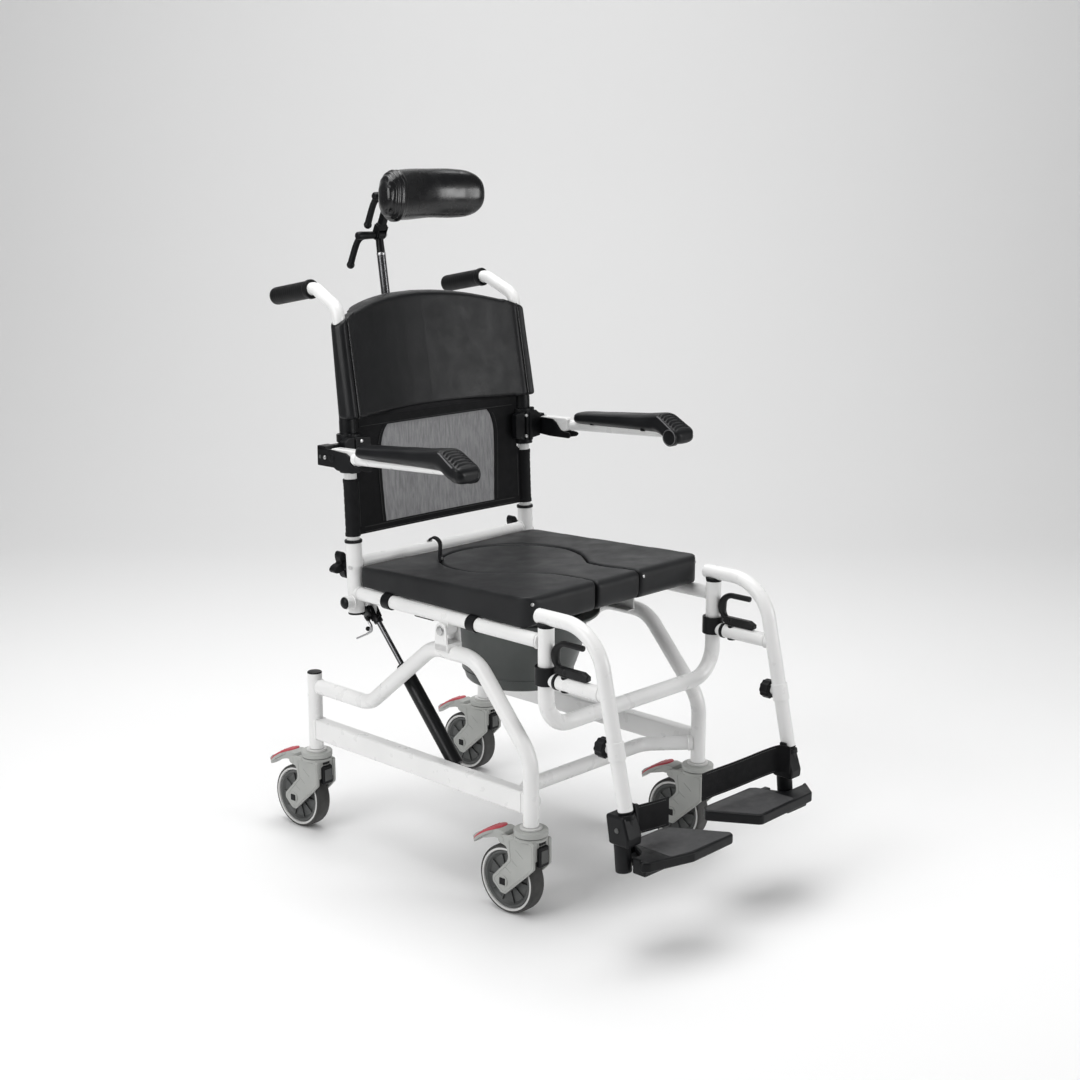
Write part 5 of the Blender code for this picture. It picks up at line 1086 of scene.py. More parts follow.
rows = [(0.0, 0.04), (0.0008, 0.35), (0.004, 0.62), (0.010, 0.80), (0.019, 0.92), (0.032, 0.985)]
rows += [(0.045 + 0.91 * k / 40, 1.0) for k in range(41)]
rows += [(0.968, 0.985), (0.980, 0.93), (0.989, 0.82), (0.9955, 0.64), (0.9990, 0.38), (1.0, 0.04)]
S = Shape()
S.loft([pad_ring(t, k) for t, k in rows], COVER)
ob = piece("back_pad", S, "back", "back_pad", angle=60)
S = Shape()
for s in (-1, 1):
    pts = []
    for k in range(41):
        t = 0.006 + 0.986 * k / 40
        z = PADZ + (pad_top(0.2165) - PADZ) * t
        e = 0.0 if 0.03 < t < 0.97 else 0.004
        pts.append((s * (0.2165 + 0.0016 * (1 - t)), front_y(0.2165, z) + 0.0001 + e * 0.4, z))
    S.tube(pts, 0.0019, SKIN, seg=12)
    stitches(S, [(s * 0.2120, front_y(0.2120, PADZ + 0.010 + 0.160 * k / 30) + 0.0006, PADZ + 0.010 + 0.160 * k / 30) for k in range(31)], 0.0052)
piece("back_pad_piping", S, "back", main=SKIN)

# ------------------------------------------------------------------ sling back
ZB, ZT = 0.6068, 0.8215
win = table([(0.6225, 0.1430), (0.650, 0.1445), (0.680, 0.1460), (0.700, 0.1472), (0.750, 0.1480), (0.775, 0.1450), (0.792, 0.1385), (0.806, 0.1275), (0.8215, 0.1150)])


def sling_y(x, z):
    return cane_y(z) + 0.007 * (1 - min(1.0, (x / 0.2135) ** 2)) * (0.55 + 0.45 * math.sin(math.pi * (z - ZB) / (ZT - ZB)))


S = Shape()
n = 60
verts = [(-0.1500 + 0.300 * i / n, sling_y(-0.1500 + 0.300 * i / n, ZB + (ZT - ZB) * j / 40), ZB + (ZT - ZB) * j / 40) for i in range(n + 1) for j in range(41)]
faces = [(i * 41 + j, (i + 1) * 41 + j, (i + 1) * 41 + j + 1, i * 41 + j + 1) for i in range(n) for j in range(40)]
S.add(verts, faces, MESH)
mesh_sheet = piece("mesh_back", S, "back", "mesh_back", angle=60)

S = Shape()


def edge_band(P0, P1, v0, v1, t, off, nv=60, nu=12):
    """A band over the sling between two edges x0(z) and x1(z)."""
    def P(u, v):
        z = v0 + (v1 - v0) * v
        x = P0(z) + (P1(z) - P0(z)) * u
        return (x, sling_y(x, z) + off, z)
    S.panel(P, nu, nv, t, WEB)


outer_edge = table([(ZB, 0.2190), (0.711, 0.2190), (0.7165, 0.2120), (0.7225, 0.2058), (0.795, 0.2060), (0.803, 0.2085), (ZT, 0.2090)])
for s in (-1, 1):
    edge_band(lambda z, s=s: s * win(z), lambda z, s=s: s * outer_edge(z), ZB, ZT, 0.0030, 0.0)
    edge_band(lambda z, s=s: s * (win(z) - 0.0005), lambda z, s=s: s * (win(z) + 0.0085), ZB + 0.012, ZT - 0.018, 0.0044, 0.0, nu=3)
    stitches(S, [(s * (win(z) + 0.0065), sling_y(win(z) + 0.0065, z) - 0.0022, z) for z in [0.624 + 0.174 * k / 40 for k in range(41)]])
    stitches(S, [(s * 0.2065, sling_y(0.2065, z) - 0.0016, z) for z in [0.612 + 0.096 * k / 20 for k in range(21)]])
    # the sleeve round the tube, gathered a little, with a ring at each end
    prof = [(0.0122, 0.0), (0.0138, 0.0), (0.0143, 0.0008), (0.0143, 0.0060), (0.0136, 0.0070)]
    h = 0.010
    k = 0
    while h < 0.097:
        prof.append((0.0134 + 0.00045 * math.sin(k * 2.1) * math.sin(k * 0.7), h))
        h += 0.003
        k += 1
    prof += [(0.0136, 0.0985), (0.0142, 0.0995), (0.0142, 0.1050), (0.0136, 0.1060), (0.0122, 0.1062)]
    S.lathe(prof, (s * CX, cane_y(ZB), ZB), (0, 0.038, 1), WEB, 44)


def hem(z0, z1, x1, t):
    S.panel(lambda u, v: (-x1 + 2 * x1 * u, sling_y(-x1 + 2 * x1 * u, z0 + (z1 - z0) * v), z0 + (z1 - z0) * v), 60, 4, t, WEB)


hem(ZB, 0.6215, 0.2150, 0.0046)
hem(0.8030, ZT, 0.2005, 0.0046)
for z in (0.6098, 0.6190, 0.8055):
    stitches(S, [(x, sling_y(x, z) - 0.0024, z) for x in [-0.196 + 0.392 * k / 60 for k in range(61)]])


def tail(u, v):
    """The cloth above the top hem, running up into the upper pad."""
    x = -0.2085 + 0.4170 * u
    y0 = sling_y(x, ZT)
    y1 = max(y0, front_y(x, PADZ) + 0.013)
    return (x, y0 + (y1 - y0) * v * v * (3 - 2 * v), 0.8180 + 0.0185 * v)


S.panel(tail, 60, 8, 0.0026, WEB)
bands = piece("mesh_back_bands", S, "back", angle=45, main=WEB)

# ------------------------------------------------------------------ socket knobs and arm clamps
for side, s in SIDES:
    kx, kz = s * CX, 0.547
    lobes = [(kx + (0.0195 + 0.0080 * math.cos(4 * (a - math.radians(17)))) * math.cos(a), kz + (0.0195 + 0.0080 * math.cos(4 * (a - math.radians(17)))) * math.sin(a))
             for a in [2 * math.pi * k / 96 for k in range(96)]]
    S = Shape()
    S.slab(lobes, 0.1905, 0.2075, 'XZ', BLACK, b=0.0035, seg=4)
    S.rod((kx, 0.1820, kz), (kx, 0.1915, kz), 0.0085, BLACK)
    S.rod((kx, 0.1784, kz), (kx, 0.1950, kz), 0.0029, STEEL)
    S.lathe([(0.0070, 0), (0.0066, 0.0012), (0.0040, 0.0017)], (kx, 0.2072, kz), (0, 1, 0), HUB)
    piece("star_knob_" + side, S, "star_knob_" + side, "star_knob_" + side, main=BLACK)

AY, AZ = 0.150, 0.761
for side, s in SIDES:
    cx = s * CX
    S = Shape()
    z0 = 0.7255
    S.lathe([(0.0122, 0.0), (0.0180, 0.0), (0.0190, 0.0010), (0.0190, 0.0545), (0.0196, 0.0556), (0.0215, 0.0566), (0.0218, 0.0580), (0.0218, 0.0690),
             (0.0210, 0.0704), (0.0165, 0.0712), (0.0158, 0.0720), (0.0158, 0.0935), (0.0154, 0.0950), (0.0154, 0.1060), (0.0122, 0.1064)],
            (cx, cane_y(z0), z0), (0, 0.038, 1), BLACK, 52, ring=True)
    S.box(s * 0.2300, s * 0.2845, 0.1700, 0.1915, 0.7435, 0.7785, BLACK, b=0.0035, seg=3)
    cheek = rounded([(0.1885, 0.7765), (0.121, 0.7758), (0.1110, 0.7690), (0.1010, 0.7570), (0.0900, 0.7530), (0.0760, 0.7530), (0.0705, 0.7470),
                     (0.0760, 0.7412), (0.1270, 0.7405), (0.1885, 0.7450)], [0.002, 0.010, 0.010, 0.010, 0.010, 0.006, 0.004, 0.006, 0.010, 0.002], 6)
    S.slab(cheek, s * 0.2560, s * 0.2595, 'YZ', BLACK, b=0.0009)
    outer_cheek = rounded([(0.1905, 0.7785), (0.1690, 0.7765), (0.1120, 0.7738), (0.1030, 0.7690), (0.0965, 0.7560), (0.0900, 0.7525), (0.0790, 0.7515),
                           (0.0730, 0.7480), (0.0790, 0.7425), (0.0970, 0.7390), (0.1370, 0.7400), (0.1460, 0.7440), (0.1905, 0.7435)],
                          [0.002, 0.004, 0.008, 0.008, 0.006, 0.004, 0.003, 0.003, 0.004, 0.008, 0.006, 0.006, 0.002], 6)
    S.slab(outer_cheek, s * 0.2807, s * 0.2846, 'YZ', BLACK, b=0.0012)
    S.box(s * 0.2590, s * 0.2846, 0.1690, 0.1905, 0.7720, 0.7800, BLACK, b=0.0016)
    S.rod((s * 0.2580, AY, AZ), (s * 0.2830, AY, AZ), 0.0040, STEEL)
    S.lathe([(0.0072, 0), (0.0074, 0.0005), (0.0070, 0.0014), (0.0045, 0.0022)], (s * 0.2840, AY, AZ), (s, 0, 0), BLACK, 32)
    S.lathe([(0.0036, -0.002), (0.0037, 0.0007), (0.0030, 0.0017), (0.0012, 0.0019)], (s * 0.2848, 0.1690, 0.7600), (s, 0, 0), BOLT, 24)
    S.lathe([(0.0034, -0.002), (0.0034, 0.0007), (0.0028, 0.0015), (0.0012, 0.0016)], (s * 0.2848, 0.1820, 0.7600), (s, 0, 0), HUB, 24)
    # split flange in front of the collar with its two screws
    S.slab(rounded([(s * 0.1885, 0.7395), (s * 0.2132, 0.7345), (s * 0.2132, 0.7915), (s * 0.1885, 0.7880)], 0.003, 4), 0.1535, 0.1665, 'XZ', BLACK, b=0.0018)
    S.slab(rounded([(s * 0.2144, 0.7350), (s * 0.2535, 0.7400), (s * 0.2535, 0.7840), (s * 0.2420, 0.7925), (s * 0.2144, 0.7925)], 0.003, 4), 0.1500, 0.1665, 'XZ', BLACK, b=0.0020)
    S.box(s * 0.2215, s * 0.2300, 0.1475, 0.1640, 0.7340, 0.7900, BLACK, b=0.0018)
    S.rod((s * 0.2330, 0.1570, 0.7900), (s * 0.2330, 0.1570, 0.7990), 0.0062, BLACK, b=0.002)
    for z in (0.7837, 0.7425):
        S.lathe([(0.0034, -0.003), (0.0035, 0.0007), (0.0030, 0.0017), (0.0014, 0.0020)], (s * 0.2138, 0.1512, z), (0, -1, 0), BOLT, 24)
    piece("arm_clamp_" + side, S, "back", "arm_clamp_" + side, main=BLACK)

    S = Shape()
    holder = rounded(arc(AY, AZ, 0.0168, -82, 88, 18) + [(0.0880, 0.7800), (0.0840, 0.7765), (0.0840, 0.7570), (0.0900, 0.7540), (0.128, 0.7450)],
                     [0] * 19 + [0.004, 0.003, 0.003, 0.004, 0.010], 5)
    S.slab(holder, s * 0.2602, s * 0.2800, 'YZ', WHITE, b=0.0022, seg=3)
    S.tube([(s * 0.2765, 0.0960, 0.7648), (s * 0.2765, -0.1690, 0.7784)], 0.0108, WHITE, seg=36, b=0.0018)
    S.tube([(s * 0.2765, -0.1680, 0.7784), (s * 0.2765, -0.1705, 0.7785)], 0.0094, BLACK, seg=32, b=0.0012)
    weld(S, (s * 0.2765, 0.0832, 0.7655), (0, -1, 0.052), 0.0109, 0.0013)
    piece("arm_tube_" + side, S, "arm_" + side, "arm_tube_" + side, main=WHITE)

    # arm pad: sections along the arm, a ridged palm at its front end
    topz = table([(-0.2060, 0.7745), (-0.2045, 0.7800), (-0.2010, 0.7848), (-0.1960, 0.7885), (-0.1840, 0.7955), (-0.1720, 0.8025), (-0.1600, 0.8088),
                  (-0.1530, 0.8117), (-0.1450, 0.8124), (-0.1300, 0.8108), (-0.1000, 0.8070), (-0.050, 0.8030), (0.0, 0.7985), (0.050, 0.7945), (0.0630, 0.7928),
                  (0.0700, 0.7890)])
    botz = table([(-0.2060, 0.7690), (-0.2040, 0.7640), (-0.2000, 0.7608), (-0.1940, 0.7592), (-0.1850, 0.7590), (-0.1750, 0.7612), (-0.1650, 0.7662),
                  (-0.1550, 0.7712), (-0.1400, 0.7738), (-0.1000, 0.7735), (0.0, 0.7712), (0.0630, 0.7702), (0.0700, 0.7722)])

    def half_w(y):
        if y > 0.0520:
            return 0.0085 + math.sqrt(max(0.018 ** 2 - (y - 0.0520) ** 2, 1e-7))
        if y < -0.1920:
            return 0.0125 + math.sqrt(max(0.014 ** 2 - (y + 0.1920) ** 2, 1e-7))
        return 0.0262 + 0.0003 * math.sin((y + 0.06) * 20)

    def power(y):
        return 3.4 + 2.4 * max(0.0, min(1.0, (-0.1400 - y) / 0.025))
    ys = [0.0699, 0.0694, 0.0682, 0.0662, 0.0632] + [0.060 - 0.004 * k for k in range(51)] + [-0.1445 - 0.0012 * k for k in range(40)]
    ys += [-0.1925, -0.1940, -0.1955, -0.1970, -0.1984, -0.1997, -0.2009, -0.2020, -0.2030, -0.2038, -0.2045, -0.2051, -0.2055, -0.2058]
    rings = []
    for y in ys:
        zt, zb, hw = topz(y), botz(y), half_w(y)
        zc, hz = (zt + zb) / 2, max((zt - zb) / 2, 0.0012)
        ring = []
        for k in range(72):
            a = 2 * math.pi * k / 72
            c, t = math.cos(a), math.sin(a)
            q = max(0.0, min(1.0, (-0.1400 - y) / 0.025))
            e = 2.0 / (power(y) if t > 0 else (1.9 + 0.9 * q))
            ex = e
            x = hw * math.copysign(abs(c) ** ex, c)
            z = hz * math.copysign(abs(t) ** e, t)
            px = s * 0.280 + x
            pz = zc + z
            out = s * x
            if t > 0.15 and -0.1985 < y < -0.1490:
                g = min(1.0, (t - 0.15) / 0.3) * min(1.0, (y + 0.1985) / 0.006) * min(1.0, (-0.1490 - y) / 0.006) * min(1.0, max(0.0, (0.0235 - abs(x)) / 0.003))
                q = y + 0.0070 * (abs(x) / 0.026) ** 1.4
                pz -= g * 0.0019 * (0.5 + 0.5 * math.cos(q * 2 * math.pi / 0.0068)) ** 2
            if abs(c) > 0.75:
                zz_ = (pz - zc) / hz
                px -= s * math.copysign(1, out) * 0.0006 * math.exp(-((zz_ - 0.45) / 0.08) ** 2)
            ring.append((px, y, pz + 0.0006 * noise.noise(Vector((px * 30, y * 18, 1))) * (1 if t > 0 else 0)))
        rings.append(ring)
    S = Shape()
    S.loft(rings, FOAM)
    # grey inlay along the side of the palm
    for e in (-1, 1):
        pts = []
        for k in range(13):
            y = -0.1500 - 0.0370 * k / 12
            zt, zb, hw = topz(y), botz(y), half_w(y)
            zz_ = 0.80 - 0.16 * k / 12
            z = (zt + zb) / 2 + (zt - zb) / 2 * zz_
            x = hw * (1 - abs(zz_) ** power(y)) ** (1 / power(y))
            pts.append((s * 0.280 + e * (x + 0.0001), y, z))
        S.tube(pts, 0.0012, GREY_INLAY_AND_HIGHLIGHT, seg=10)
    # round end plug on the inner side of the palm, with a raised ring coloured grey as a painted highlight
    pc = (-0.1842, 0.7722)
    S.lathe([(0.0150, 0.0), (0.0166, 0.0010), (0.0166, 0.0118), (0.0158, 0.0130), (0.0138, 0.0132), (0.0130, 0.0122), (0.0060, 0.0120)],
            (s * 0.2660, *pc), (-s, 0, 0), BLACK, 56)
    S.tube([(s * 0.2530, pc[0] + 0.0146 * math.cos(2 * math.pi * k / 48), pc[1] + 0.0146 * math.sin(2 * math.pi * k / 48)) for k in range(48)], 0.0010, GREY_INLAY_AND_HIGHLIGHT, seg=10, closed=True)
    # two small feet under the palm end and the screws in the pad's underside
    for y in (-0.110, 0.020):
        S.lathe([(0.0052, -0.006), (0.0052, 0.0016), (0.0042, 0.0026)], (s * 0.2640, y, botz(y) + 0.0050), (0, 0, -1), BLACK, 28)
    ob = piece("arm_pad_" + side, S, "arm_" + side, "arm_pad_" + side, angle=50, main=FOAM)

# ------------------------------------------------------------------ headrest
HLY, HLZ = 0.3385, 1.1385
HUY, HUZ = 0.305, 1.213
S = Shape()
S.rod((0, mast_y(0.840), 0.840), (0, mast_y(1.1040), 1.1040), 0.0084, DARK, seg=40)
S.lathe([(0.0070, 0), (0.0086, 0), (0.0089, 0.0006), (0.0089, 0.0044), (0.0084, 0.0052), (0.0070, 0.0054)], (0, mast_y(1.1000), 1.1000), (0, 0.148, 1), STEEL, 40)
S.rod((0, mast_y(1.1040), 1.1040), (0, mast_y(1.1335), 1.1335), 0.0080, BLACK, r2=0.0074, seg=40)
for k in range(9):
    z = 0.985 + 0.014 * k
    S.lathe([(0.0083, -0.0007), (0.0086, 0), (0.0083, 0.0007)], (0, mast_y(z), z), (0, 0.148, 1), DARK, 40)
S.lathe([(0.0037, -0.0080), (0.0095, -0.0080), (0.0100, -0.0075), (0.0100, 0.0075), (0.0095, 0.0080), (0.0037, 0.0080)], (0, HLY, HLZ), (1, 0, 0), BLACK, 40, ring=True)
piece("headrest_mast", S, "headrest_mast", "headrest_mast", main=DARK)

LP, UP = Vector((0, HLY, HLZ)), Vector((0, HUY, HUZ))
LD = (UP - LP).normalized()
LN = Vector((0, LD.z, -LD.y))
LL = (UP - LP).length


def strip(S, a, b, w, x0, x1, mat, r=0.003, bevel=0.0012):
    pts = [LP + LD * a - LN * w, LP + LD * b - LN * w, LP + LD * b + LN * w, LP + LD * a + LN * w]
    S.slab(rounded([(p.y, p.z) for p in pts], r, 4), x0, x1, 'YZ', mat, b=bevel)


S = Shape()
strip(S, 0.0150, LL - 0.0045, 0.0066, -0.0070, 0.0070, BLACK, 0.002, 0.0024)
strip(S, 0.0115, 0.0240, 0.0076, -0.0100, 0.0100, BLACK, 0.003, 0.0030)
for x0, x1 in ((0.0086, 0.0116), (-0.0116, -0.0086)):
    strip(S, 0.0, 0.0200, 0.0080, x0, x1, BLACK, 0.001)
    S.rod((x0 + 0.0001, HLY, HLZ), (x1 - 0.0001, HLY, HLZ), 0.0084, BLACK, seg=40)
S.lathe([(0.0037, -0.0080), (0.0095, -0.0080), (0.0100, -0.0075), (0.0100, 0.0075), (0.0095, 0.0080), (0.0037, 0.0080)], (0, HUY, HUZ), (1, 0, 0), BLACK, 40, ring=True)
piece("headrest_link", S, "headrest_link", "headrest_link")


def lever(name, y, z, x_out, x_arm, dy, dz):
    """A moulded lever: a round hub that grows into the arm, with a bulb at the end."""
    S = Shape()
    S.lathe([(0.0060, 0), (0.0070, 0.0008), (0.0072, 0.0040), (0.0076, abs(x_out + 0.0136) * 0.55), (0.0080, abs(x_out + 0.0136) * 0.85),
             (0.0076, abs(x_out + 0.0136) + 0.0010), (0.0060, abs(x_out + 0.0136) + 0.0032), (0.0030, abs(x_out + 0.0136) + 0.0042)],
            (-0.0136, y, z), (-1, 0, 0), BLACK, 36)
    S.rod((-0.0150, y, z), (0.0160, y, z), 0.0030, STEEL)
    S.lathe([(0.0062, 0), (0.0062, 0.0025), (0.0052, 0.0032)], (0.0134, y, z), (1, 0, 0), STEEL, seg=6)
    pts = smooth([(x_arm + 0.0100, y, z), (x_arm + 0.0030, y + dy * 0.12, z + dz * 0.08), (x_arm, y + dy * 0.35, z + dz * 0.28),
                  (x_arm, y + dy * 0.72, z + dz * 0.66), (x_arm, y + dy, z + dz)], 7)
    S.tube(pts, 0.0042, BLACK, seg=24, b=0.002, radius=lambda t: 0.0078 - 0.0020 * min(1.0, t / 0.42) + 0.0008 * t)
    S.ball((x_arm, y + dy * 0.97, z + dz * 0.97), 0.0078, BLACK, 24, 12)
    piece(name, S, name, name, main=BLACK)


lever("headrest_lever_lower", HLY, HLZ, -0.0520, -0.0480, 0.0300, -0.0580)
lever("headrest_lever_upper", HUY, HUZ, -0.0370, -0.0330, 0.0280, -0.0560)

rings = []
N = 150
for i in range(N + 1):
    u = -1 + 2 * i / N
    xx = math.copysign(1 - (1 - abs(u)) ** 1.6, u) if abs(u) > 0 else 0.0
    xx = max(-0.9995, min(0.9995, xx))
    w = (1 - abs(xx) ** 4.2) ** (1 / 3.1)
    X = 0.122 * xx
    ax = abs(X)
    ring = []
    for k in range(96):
        a = 2 * math.pi * k / 96
        cy, cz = math.cos(a), math.sin(a)
        e = 2.0 / 2.25
        cy2, cz2 = math.copysign(abs(cy) ** e, cy), math.copysign(abs(cz) ** e, cz)
        r = 1.0
        if X < -0.072:
            # gathered end: pleats running round the roll, deeper where the cloth is drawn in
            g = min(1.0, (ax - 0.072) / 0.010)
            q = ax + 0.0026 * math.sin(2 * a + 1.3) + 0.0014 * math.sin(5 * a)
            r += g * 0.038 * math.sin(q * 2 * math.pi / 0.0118) + g * 0.030
            r += g * 0.060 * max(0.0, -cz)
        elif X > 0.072:
            # the other end is drawn tight over the roll, with a seam close to its edge
            r += 0.030 * min(1.0, (ax - 0.072) / 0.02)
            r -= 0.035 * math.exp(-((ax - 0.1125) / 0.0012) ** 2)
        r -= 0.075 * max(0.0, -cz) * math.exp(-((X - 0.012) / 0.050) ** 2)
        r += 0.016 * noise.noise(Vector((X * 16, cy * 1.3, cz * 1.3)))
        ring.append((X, 0.212 + 0.031 * cy2 * w * r - 0.030 * xx * xx, 1.2175 + 0.0470 * cz2 * w * r))
    rings.append(ring)
S = Shape()
S.loft(rings, SKIN)
S.rod((0, 0.232, HUZ), (0, HUY - 0.0150, HUZ), 0.0100, BLACK)
S.lathe([(0.0180, 0), (0.0195, 0.001), (0.0190, 0.004), (0.0110, 0.0060)], (0, 0.2400, HUZ), (0, 1, 0), BLACK, 40)
for x0, x1 in ((0.0086, 0.0130), (-0.0130, -0.0086)):
    S.box(x0, x1, HUY - 0.0280, HUY, HUZ - 0.0090, HUZ + 0.0090, BLACK, b=0.0009)
    S.rod((x0 + 0.0001, HUY, HUZ), (x1 - 0.0001, HUY, HUZ), 0.0098, BLACK, seg=40)
S.box(-0.0125, 0.0125, HUY - 0.0300, HUY - 0.0130, HUZ - 0.0086, HUZ + 0.0086, BLACK, b=0.002)
ob = piece("headrest_pad", S, "headrest_pad", "headrest_pad", angle=60, main=SKIN)

# ------------------------------------------------------------------ leg rests
HX, HTOP = 0.2222, 0.543
HLOW = (-0.4966, 0.2684)
LEAN = (HLOW[0] + 0.435) / (HLOW[1] - HTOP)


def lean_y(z):
    return HLOW[0] + (z - HLOW[1]) * LEAN


PLATES = {"right": [(-0.016, -0.573), (-0.078, -0.472), (-0.102, -0.466), (-0.166, -0.466), (-0.176, -0.474), (-0.196, -0.5115), (-0.232, -0.541),
                    (-0.219, -0.552), (-0.135, -0.576)],
          "left": [(0.020, -0.474), (0.036, -0.457), (0.166, -0.457), (0.176, -0.465), (0.196, -0.5165), (0.245, -0.5165), (0.262, -0.512),
                   (0.2270, -0.5530), (0.072, -0.558)]}
PX, PZ = 0.184, 0.159
for side, s in SIDES:
    hx, lx = s * HX, s * LX
    S = Shape()
    dn = Vector((0, LEAN, 1)).normalized()
    S.tube([(hx, -0.303, HTOP), (hx, -0.435, HTOP), Vector((hx, *HLOW)) - dn * 0.0190], 0.0128, WHITE, (0.086,), seg=40, steps=18, b=0.002)
    S.rod((lx, LY, 0.4720), (lx, LY, HTOP), 0.0080, STEEL)
    S.lathe([(0.0082, 0), (0.0142, 0), (0.0150, 0.0007), (0.0150, 0.0042), (0.0142, 0.0050), (0.0082, 0.0050)], (lx, LY, 0.5284), (0, 0, 1), BLACK, 44, ring=True)
    S.rod((hx, LY - 0.010, 0.437), (hx, lean_y(0.437) + 0.002, 0.437), 0.0125, WHITE, seg=36)
    dn = Vector((0, LEAN, 1)).normalized()
    weld(S, (hx, lean_y(0.437) + 0.0142, 0.437), (0, 1, 0), 0.0126, 0.0015)
    # black saddle that snaps on the leg of the frame
    S.lathe([(0.0148, 0), (0.0188, 0), (0.0196, 0.0008), (0.0196, 0.0312), (0.0188, 0.0320), (0.0148, 0.0320)], (lx, LY, 0.4278), (0, 0, 1), BLACK, 52, ring=True)
    S.lathe([(0.0118, 0), (0.0134, 0.0), (0.0138, 0.0006), (0.0138, 0.0060), (0.0132, 0.0066), (0.0118, 0.0066)], (hx, -0.3455, 0.437), (0, -1, 0), BLACK, 40)
    # boss of the latch with its screw
    S.rod((hx, -0.367, 0.4420), (hx, -0.367, 0.4490), 0.0085, BLACK)
    S.lathe([(0.0085, 0), (0.0085, 0.0010), (0.0070, 0.0020), (0.0030, 0.0022)], (hx, -0.367, 0.4250), (0, 0, -1), BLACK, 28)
    # clamp collar for the telescopic tube
    zc = 0.348
    c = Vector((hx, lean_y(zc), zc))
    S.lathe([(0.0127, -0.0150), (0.0143, -0.0150), (0.0148, -0.0144), (0.0148, 0.0144), (0.0143, 0.0150), (0.0127, 0.0150)], c, dn, WHITE, 44, ring=True)
    S.rod((hx, lean_y(zc) + 0.0100, zc), (hx, lean_y(zc) + 0.0172, zc), 0.0078, WHITE)
    low = Vector((hx, *HLOW))
    S.lathe([(0.0105, 0), (0.0122, 0), (0.0129, 0.0006), (0.0129, 0.0020), (0.0120, 0.0026), (0.0105, 0.0026)], low - dn * 0.0210, dn, BLACK, 44, ring=True)
    piece("hanger_" + side, S, "hanger_" + side, "hanger_" + side, main=WHITE)

    S = Shape()
    S.tube([(hx, -0.414, 0.4575), (hx, -0.3430, 0.4575), (hx, -0.3430, 0.5055), (hx, -0.407, 0.5055)], 0.0052, PAINT, (0.0235, 0.0235), seg=28, steps=14, b=0.0022,
           radius=lambda t: 0.0052 + 0.0030 * math.exp(-((t - 0.52) / 0.20) ** 2))
    S.slab(rounded([(-0.4190, 0.4530), (-0.4140, 0.4496), (-0.3560, 0.4500), (-0.3480, 0.4560), (-0.3520, 0.4655), (-0.4080, 0.4655), (-0.4190, 0.4600)],
                   [0.002, 0.003, 0.006, 0.004, 0.004, 0.004, 0.002], 5), hx - 0.0056, hx + 0.0056, 'YZ', PAINT, b=0.0022, seg=3)
    S.rod((hx, -0.367, 0.4405), (hx, -0.367, 0.4575), 0.0034, STEEL)
    S.lathe([(0.0062, -0.0050), (0.0072, -0.0042), (0.0072, 0.0042), (0.0062, 0.0050)], (hx, -0.367, 0.4585), (0, 0, 1), PAINT, 32)
    piece("latch_" + side, S, "latch_" + side, "latch_" + side, main=PAINT)

    ky = lean_y(0.348)
    S = Shape()
    S.lathe([(0.0150, 0), (0.0163, 0.0010), (0.0165, 0.0030), (0.0165, 0.0150), (0.0158, 0.0172), (0.0135, 0.0186), (0.0060, 0.0190)],
            (hx, ky + 0.0175, 0.348), (0, 1, 0), BLACK, 80, lobes=lambda a: 1 + 0.045 * math.cos(10 * a))
    S.rod((hx, ky + 0.0115, 0.348), (hx, ky + 0.0200, 0.348), 0.0029, STEEL)
    piece("height_knob_" + side, S, "height_knob_" + side, "height_knob_" + side, main=BLACK)

    S = Shape()
    S.rod(low + dn * 0.180, low - dn * 0.012, 0.0101, PAINT, seg=36)
    S.rod(low - dn * 0.010, low - dn * 0.060, 0.0103, BLACK, seg=36)
    hous = rounded([(-0.4715, 0.2450), (-0.4800, 0.1945), (-0.5215, 0.1945), (-0.5225, 0.2100), (-0.5105, 0.2450)], [0.005, 0.005, 0.005, 0.005, 0.006], 6)
    xo = 0.2402 if s < 0 else 0.2345
    S.slab(hous, s * 0.2045, s * xo, 'YZ', BLACK, b=0.0042, seg=4)
    tall = rounded([(-0.4930, 0.2610), (-0.4950, 0.2300), (-0.5160, 0.2300), (-0.5072, 0.2610)], [0.003, 0.002, 0.002, 0.003], 5)
    S.slab(tall, s * 0.2047, s * 0.2090, 'YZ', BLACK, b=0.0016, seg=3)
    S.lathe([(0.0104, 0), (0.0142, 0), (0.0150, 0.0008), (0.0150, 0.0080), (0.0142, 0.0088)], low - dn * 0.0320, dn, BLACK, 40)
    S.rod((s * 0.2220, -0.4930, 0.200), (s * 0.2220, -0.4985, 0.145), 0.0140, BLACK, seg=40, b=0.002)
    S.lathe([(0.0040, 0), (0.0046, 0.0006), (0.0040, 0.0018), (0.0015, 0.0022)], (s * (xo - 0.0002), -0.4980, 0.2210), (s, 0, 0), HUB, 24)
    S.box(s * 0.1840, s * 0.2200, -0.4880, -0.5060, 0.1525, 0.1655, BLACK, b=0.002)
    S.rod((s * PX, -0.4880, PZ), (s * PX, -0.5060, PZ), 0.0065, BLACK)
    S.rod((s * PX, -0.4770, PZ), (s * PX, -0.5250, PZ), 0.0030, STEEL)
    piece("footrest_tube_" + side, S, "footrest_" + side, "footrest_tube_" + side, main=BLACK)

